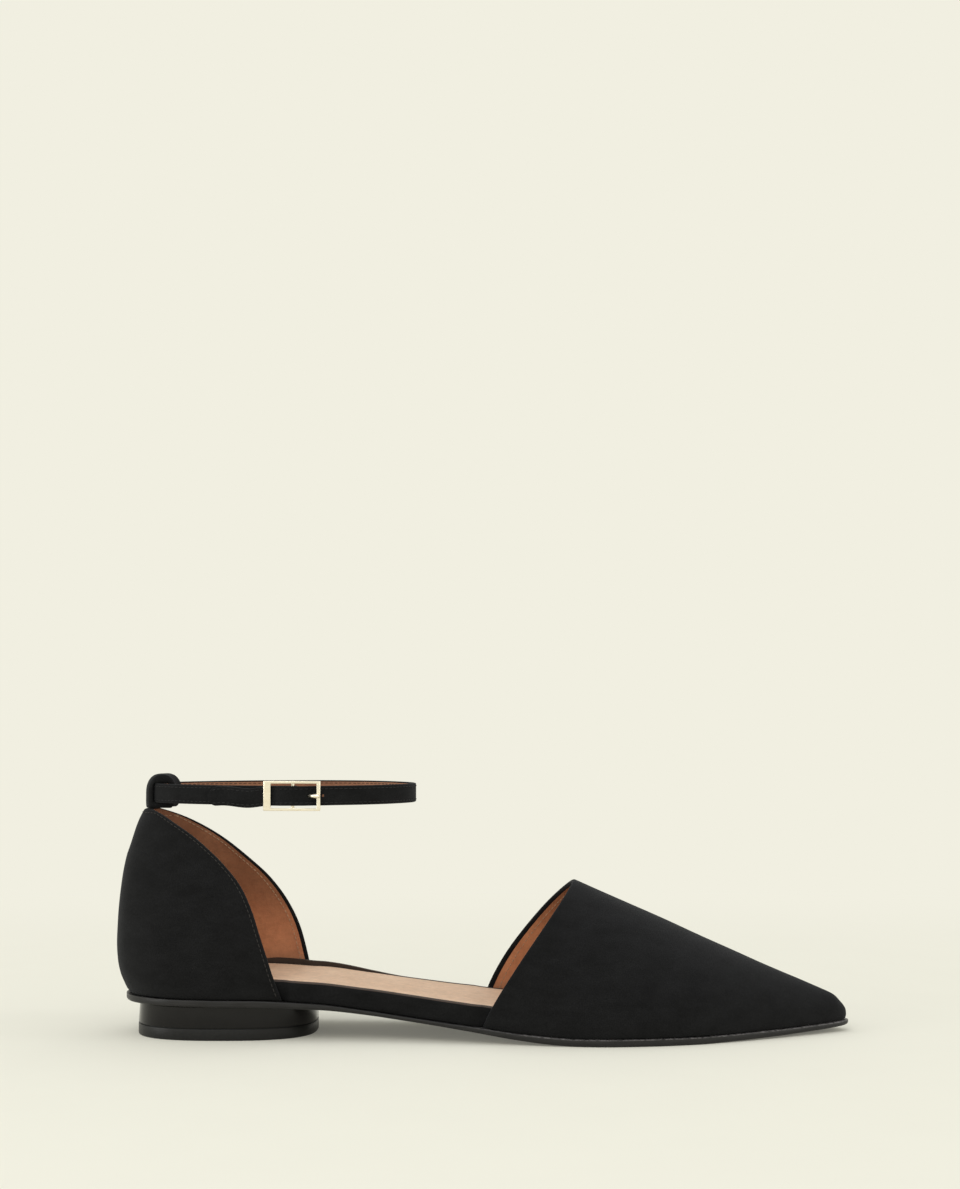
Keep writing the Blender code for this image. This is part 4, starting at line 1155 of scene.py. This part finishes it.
def rod(name, centres, radii, sides, finish, plane_normal, nodes=()):
    """A round rod along centres that lie in one plane, with its radius at each of them."""
    centres = np.array(centres)
    along = np.gradient(centres, axis=0)
    along /= np.linalg.norm(along, axis=1)[:, None]
    normal = np.array(plane_normal)
    points = []
    for k, centre in enumerate(centres):
        across = np.cross(along[k], normal)
        for turn in np.linspace(0, 2 * math.pi, sides, endpoint=False):
            arm = math.cos(turn) * across + math.sin(turn) * normal
            points.append(centre + radii[k] * arm)
    faces = bands(len(centres), sides)
    faces.append(tuple(range(sides)))
    faces.append(tuple(range((len(centres) - 1) * sides, len(centres) * sides)))
    return piece(name, points, faces, [finish], nodes=nodes, sharp=60)


def buckle(axes, finish):
    """The flat frame with its wide keeper side, the centre bar on its ears, and the prong."""
    half, high = FRAME_LENGTH / 2, FRAME_HEIGHT / 2
    outside = ((-half, -high), (half, -high), (half, high), (-half, high))
    front, rear, rail = half - END_BAR_LENGTH, -half + PLATE_LENGTH, high - RAIL_HEIGHT
    inside = ((rear, -rail), (front, -rail), (front, rail), (rear, rail))
    points = []
    for out in (FRAME_OFFSET - FRAME_THICKNESS / 2, FRAME_OFFSET + FRAME_THICKNESS / 2):
        for loop in (outside, inside):
            points += [axes.place(f, out, u) for f, u in loop]
    faces = []
    for i in range(4):
        j = (i + 1) % 4
        faces.append((i, j, 4 + j, 4 + i))
        faces.append((8 + i, 8 + j, 12 + j, 12 + i))
        faces.append((i, j, 8 + j, 8 + i))
        faces.append((4 + i, 4 + j, 12 + j, 12 + i))
    frame_piece = piece("buckle_window", points, faces, [finish], nodes=("buckle_frame",))
    bevel = frame_piece.modifiers.new("bevel", "BEVEL")
    bevel.width = FRAME_BEVEL
    bevel.segments = 4
    bevel.limit_method = "ANGLE"
    reach = rail + RAIL_HEIGHT / 2
    line = [axes.place(0.0, BAR_OFFSET, up) for up in (-reach, -0.5 * reach, 0.5 * reach, reach)]
    rod("buckle_bar", line, [CENTRE_BAR_RADIUS] * 4, 20, finish, axes.out)
    for name, up in (("buckle_ear_low", -reach), ("buckle_ear_high", reach)):
        outs = np.linspace(BAR_OFFSET - CENTRE_BAR_RADIUS / 2, FRAME_OFFSET, 5)
        ear = [axes.place(0.0, out, up) for out in outs]
        rod(name, ear, [RAIL_HEIGHT / 2] * 5, 20, finish, axes.up)
    inner = CENTRE_BAR_RADIUS + PRONG_EYE_WALL / 2
    circle = np.linspace(0, 2 * math.pi, 33)
    eye = [axes.place(inner * math.cos(t), BAR_OFFSET + inner * math.sin(t), 0.0) for t in circle]
    rod("prong_eye", eye, [PRONG_EYE_WALL / 2] * len(eye), 12, finish, axes.up)
    radius = PIN_STOUT * PRONG_RADIUS
    rise = FRAME_OFFSET + FRAME_THICKNESS / 2 + GAP / 3 + radius - BAR_OFFSET
    rows = np.array(((PIN_START, 0.0), *PIN_LINE))
    at = np.linspace(PIN_START, 1.0, 40)
    share = hermite(rows[:, 0], rows[:, 1], at)
    pin = [axes.place(a * half, BAR_OFFSET + s * rise, 0.0) for a, s in zip(at, share)]
    over = np.clip((at - PIN_END) / PIN_END_LENGTH, 0, 1)
    radii = radius * np.sqrt(np.clip(1 - over**2, 0.02, 1))
    rod("prong_pin", pin, radii, 16, finish, axes.up, nodes=("buckle_prong",))


class Finish:
    """A procedural finish in the making: its shader, and where its patterns are read."""

    def __init__(self, name, **values):
        self.material = bpy.data.materials.new(name)
        self.material.use_nodes = True
        self.tree = self.material.node_tree
        self.shader = self.tree.nodes["Principled BSDF"]
        for socket, value in values.items():
            self.shader.inputs[socket.replace("_", " ")].default_value = value
        self.place = self.tree.nodes.new("ShaderNodeTexCoord").outputs["Object"]
        self.bumped = None

    def node(self, kind, source, socket, **values):
        """A new node of this kind with these values, whose socket reads the source."""
        made = self.tree.nodes.new("ShaderNode" + kind)
        for name, value in values.items():
            made.inputs[name.replace("_", " ")].default_value = value
        self.tree.links.new(source, made.inputs[socket])
        return made

    def along(self, axis, low, high):
        """A share that rises smoothly from 0 to 1 between two places on an axis."""
        split = self.node("SeparateXYZ", self.place, "Vector")
        return self.rise(split.outputs[axis], low, high)

    def rise(self, source, low, high):
        made = self.node("MapRange", source, "Value", From_Min=low, From_Max=high)
        made.interpolation_type = "SMOOTHSTEP"
        return made.outputs["Result"]

    def stretched(self, scale):
        return self.node("Mapping", self.place, "Vector", Scale=scale).outputs["Vector"]

    def noise(self, scale, detail=4.0, roughness=0.6, place=None):
        values = {"Scale": scale, "Detail": detail, "Roughness": roughness}
        return self.node("TexNoise", place or self.place, "Vector", **values).outputs["Fac"]

    def cells(self, scale):
        made = self.node("TexVoronoi", self.place, "Vector", Scale=scale)
        made.feature = "DISTANCE_TO_EDGE"
        return made.outputs["Distance"]

    def ramp(self, source, *stops):
        """Colours or greys at places along the source's value."""
        made = self.node("ValToRGB", source, "Fac")
        ramp = made.color_ramp
        while len(ramp.elements) < len(stops):
            ramp.elements.new(0.5)
        for element, (place, colour) in zip(ramp.elements, stops):
            element.position = place
            element.color = (*colour, 1.0) if isinstance(colour, tuple) else (colour,) * 3 + (1.0,)
        return made.outputs["Color"]

    def mix(self, a, b, how, amount):
        made = self.tree.nodes.new("ShaderNodeMix")
        made.data_type = "RGBA"
        made.blend_type = how
        if isinstance(amount, float):
            made.inputs["Factor"].default_value = amount
        else:
            self.tree.links.new(amount, made.inputs["Factor"])
        self.tree.links.new(a, made.inputs["A"])
        self.tree.links.new(b, made.inputs["B"])
        return made.outputs["Result"]

    def colour(self, source):
        self.tree.links.new(source, self.shader.inputs["Base Color"])

    def roughness(self, source):
        self.tree.links.new(source, self.shader.inputs["Roughness"])

    def bump(self, source, depth, strength=1.0):
        made = self.node("Bump", source, "Height", Strength=strength, Distance=depth)
        if self.bumped:
            self.tree.links.new(self.bumped, made.inputs["Normal"])
        self.bumped = made.outputs["Normal"]
        self.tree.links.new(self.bumped, self.shader.inputs["Normal"])


def suede_finish():
    """Black suede: a short nap that lies this way and that, and scatters light at its edges."""
    made = Finish(
        "black_suede", Roughness=0.92, Specular_IOR_Level=0.12, Sheen_Weight=0.06,
        Sheen_Roughness=0.45, Sheen_Tint=(0.85, 0.88, 0.95, 1.0),
    )
    brushed = made.noise(90.0, 5.0, 0.65, made.stretched((1.0, 1.3, 2.2)))
    nap = made.noise(2600.0, 3.0, 0.7)
    patches = made.ramp(brushed, (0.30, (0.0049, 0.0049, 0.0051)), (0.70, (0.0093, 0.0094, 0.0099)))
    flecks = made.ramp(nap, (0.30, 0.55), (0.75, 1.5))
    made.colour(made.mix(patches, flecks, "MULTIPLY", 1.0))
    made.bump(brushed, 0.25 * MM, 0.35)
    made.bump(nap, 0.12 * MM, 0.8)
    return made.material


def leather_finish(name, light, dark, roughness, grain=0.10 * MM, painted_light_low=None):
    """Smooth lining leather: small pores, faint wrinkles and a little unevenness of dye.

    The last argument says how many times lighter the leather is painted low in the shoe. This is
    painted light, standing in for the light that falls on the lining's foot.
    """
    made = Finish(name, Specular_IOR_Level=0.4)
    blotch = made.noise(60.0, 5.0, 0.6)
    pores = made.cells(1500.0)
    wrinkle = made.noise(260.0, 6.0, 0.7, made.stretched((1.0, 0.6, 2.4)))
    dyed = made.ramp(blotch, (0.30, dark), (0.72, light))
    worked = made.ramp(made.noise(420.0, 6.0, 0.75), (0.3, 0.84), (0.7, 1.14))
    dyed = made.mix(dyed, worked, "MULTIPLY", 1.0)
    # Painted light: low in the shoe the colour is raised up to that many times, and it fades back to
    # plain over the given heights.
    if painted_light_low:
        painted_light_ramp = made.ramp(made.along("Z", *LINING_PAINTED_LIGHT_FADE), (0.0, painted_light_low), (1.0, 1.0))
        dyed = made.mix(dyed, painted_light_ramp, "MULTIPLY", 1.0)
    made.colour(dyed)
    made.roughness(made.ramp(wrinkle, (0.3, roughness - 0.08), (0.7, roughness + 0.10)))
    made.bump(wrinkle, 0.22 * MM, 0.45)
    made.bump(pores, grain, 0.35)
    return made.material


def edge_finish(painted_highlight):
    """The sole's inked edge: dark, half glossy, with fine lines of wear along it. Its second kind
    also carries a painted highlight: a light line along the edge's top, towards the toe.
    """
    made = Finish("edge_painted_highlight" if painted_highlight else "inked_edge", Specular_IOR_Level=0.3)
    streaks = made.noise(420.0, 5.0, 0.65, made.stretched((0.25, 0.25, 3.0)))
    inked = made.ramp(streaks, (0.35, (0.0085, 0.0080, 0.0082)), (0.75, (0.019, 0.018, 0.018)))
    # Painted highlight: from about x 0.075 m forward, the colour is lightened several times over for
    # the light that the edge's top catches.
    if painted_highlight:
        highlight_gain = made.ramp(made.noise(700.0, 3.0, 0.6), (0.35, 1.5), (0.65, 9.0))
        forward = made.ramp(made.along("X", 0.075, 0.115), (0.0, 0.0), (1.0, 1.0))
        inked = made.mix(inked, made.mix(inked, highlight_gain, "MULTIPLY", 1.0), "MIX", forward)
    made.colour(inked)
    made.roughness(made.ramp(streaks, (0.3, 0.34), (0.7, 0.52)))
    made.bump(streaks, 0.05 * MM, 0.5)
    return made.material


def gloss_finish():
    """Lacquered heel: deep black and smooth with the slightest ripple."""
    made = Finish("heel_lacquer", Roughness=0.12, Specular_IOR_Level=0.26)
    ripple = made.noise(45.0, 2.0, 0.5)
    tone = made.noise(300.0)
    made.colour(made.ramp(tone, (0.3, (0.0045, 0.0040, 0.0040)), (0.7, (0.0065, 0.0058, 0.0058))))
    made.bump(ripple, 0.10 * MM, 0.25)
    return made.material


def rubber_finish():
    made = Finish("top_piece_rubber", Specular_IOR_Level=0.25)
    grain = made.noise(900.0, 4.0, 0.7)
    made.colour(made.ramp(grain, (0.3, (0.006, 0.006, 0.006)), (0.7, (0.011, 0.011, 0.011))))
    made.roughness(made.ramp(grain, (0.3, 0.34), (0.7, 0.5)))
    made.bump(grain, 0.05 * MM, 0.5)
    return made.material


def gold_finish():
    """Pale plated metal with a fine brushed haze."""
    made = Finish("pale_gold", Metallic=1.0, Specular_IOR_Level=0.5)
    haze = made.noise(500.0, 3.0, 0.6, made.stretched((0.4, 0.4, 3.0)))
    made.colour(made.ramp(haze, (0.3, (0.93, 0.85, 0.68)), (0.7, (0.96, 0.89, 0.73))))
    made.roughness(made.ramp(haze, (0.3, 0.22), (0.7, 0.36)))
    made.bump(haze, 0.01 * MM, 0.12)
    return made.material


def thread_finish(name, colour):
    made = Finish(name, Roughness=0.7, Specular_IOR_Level=0.3)
    twist = made.noise(5200.0, 2.0, 0.5)
    low = tuple(0.6 * channel for channel in colour)
    made.colour(made.ramp(twist, (0.3, low), (0.7, colour)))
    made.bump(twist, 0.04 * MM, 0.8)
    return made.material


def backdrop():
    """A round pale floor that curves up into a wall, lit near the shoe and even beyond it."""
    made = Finish("pale_paper", Roughness=0.9, Specular_IOR_Level=0.1)
    tooth = made.noise(30.0, 3.0, 0.5)
    lit = tuple(FLOOR_DIFFUSE * channel for channel in FLOOR_COLOUR)
    low = tuple(0.99 * channel for channel in lit)
    made.colour(made.ramp(tooth, (0.3, low), (0.7, lit)))
    made.shader.inputs["Emission Color"].default_value = (*FLOOR_COLOUR, 1.0)
    made.shader.inputs["Emission Strength"].default_value = FLOOR_GLOW
    nodes, links = made.tree.nodes, made.tree.links
    even = nodes.new("ShaderNodeEmission")
    even.inputs["Color"].default_value = (*FLOOR_COLOUR, 1.0)
    stretch, shift = (EVEN_STRETCH, 1.0, 0.0), (-EVEN_STRETCH * SHOE_MIDDLE_X, 0.0, 0.0)
    from_shoe = made.node("Mapping", made.place, "Vector", Scale=stretch, Location=shift)
    distance = nodes.new("ShaderNodeVectorMath")
    distance.operation = "LENGTH"
    links.new(from_shoe.outputs["Vector"], distance.inputs[0])
    blend = nodes.new("ShaderNodeMixShader")
    links.new(made.rise(distance.outputs["Value"], *EVEN_FROM), blend.inputs["Fac"])
    links.new(made.shader.outputs["BSDF"], blend.inputs[1])
    links.new(even.outputs["Emission"], blend.inputs[2])
    links.new(blend.outputs["Shader"], nodes["Material Output"].inputs["Surface"])
    reach, radius, top, count = 2.3, 0.8, 1.6, 72
    profile = [(0.4, 0.0), (reach - radius, 0.0)]
    for turn in np.linspace(0, math.pi / 2, 12)[1:]:
        profile.append((reach - radius + radius * math.sin(turn), radius - radius * math.cos(turn)))
    profile.append((reach, top))
    turns = np.linspace(0, 2 * math.pi, count, endpoint=False)
    points = [(r * math.cos(turn), r * math.sin(turn), z) for r, z in profile for turn in turns]
    faces = [tuple(range(count)), *(face[::-1] for face in bands(len(profile), count))]
    mesh = bpy.data.meshes.new("paper_cove")
    mesh.from_pydata(points, [], faces)
    mesh.materials.append(made.material)
    mesh.shade_smooth()
    cove = bpy.data.objects.new("paper_cove", mesh)
    bpy.context.scene.collection.objects.link(cove)


def softbox(name, place, aim, size, watts, colour=(1.0, 1.0, 1.0)):
    data = bpy.data.lights.new(name, "AREA")
    data.shape = "RECTANGLE"
    data.size, data.size_y = size
    data.energy = watts
    data.color = colour
    lamp = bpy.data.objects.new(name, data)
    lamp.location = place
    lamp.rotation_mode = "QUATERNION"
    lamp.rotation_quaternion = (Vector(aim) - Vector(place)).to_track_quat("-Z", "Y")
    bpy.context.scene.collection.objects.link(lamp)


def studio():
    world = bpy.data.worlds.new("studio")
    world.use_nodes = True
    sky = world.node_tree.nodes["Background"]
    sky.inputs["Color"].default_value = (0.95, 0.97, 1.0, 1.0)
    sky.inputs["Strength"].default_value = WORLD_STRENGTH
    bpy.context.scene.world = world
    bpy.context.scene.view_settings.view_transform = "Standard"
    middle = (SHOE_MIDDLE_X, 0.0, 0.05)
    for name, place, size, watts in SOFTBOXES:
        softbox(name, place, middle, size, watts)
    camera = bpy.data.cameras.new("camera")
    camera.sensor_width = 36.0
    camera.lens = CAMERA_LENS
    camera.clip_start = 0.01
    placed = bpy.data.objects.new("camera", camera)
    placed.location = CAMERA_PLACE
    placed.rotation_euler = (math.radians(90) + CAMERA_RISE, 0.0, 0.0)
    bpy.context.scene.collection.objects.link(placed)
    bpy.context.scene.camera = placed


def main():
    noise.seed_set(SOFT_SEED)
    suede = suede_finish()
    lining = leather_finish(
        "lining_leather", (0.285, 0.125, 0.062), (0.205, 0.080, 0.038), 0.55, painted_light_low=2.2
    )
    sock_leather = leather_finish("sock_leather", (0.74, 0.51, 0.345), (0.62, 0.41, 0.265), 0.60)
    brown_edge = leather_finish("brown_edge", (0.050, 0.030, 0.020), (0.028, 0.017, 0.011), 0.7)
    edge_thread = thread_finish("edge_thread", (0.030, 0.027, 0.024))
    lining_thread = thread_finish("lining_thread", (0.50, 0.33, 0.21))
    black_thread = thread_finish("black_thread", (0.014, 0.014, 0.015))
    dark_thread = thread_finish("dark_thread", (0.10, 0.05, 0.03))
    outsole([edge_finish(painted_highlight=False), edge_finish(painted_highlight=True)])
    heel(gloss_finish(), rubber_finish())
    insole([suede, brown_edge])
    sock(sock_leather, brown_edge)
    upper_quarter(suede, lining, (edge_thread, lining_thread))
    upper_vamp(suede, lining, lining_thread)
    heel_loop(suede)
    ring = StrapRing()
    axes = BuckleFrame(ring)
    ankle_strap(ring, suede, lining, (black_thread, dark_thread))
    buckle(axes, gold_finish())
    backdrop()
    studio()


main()
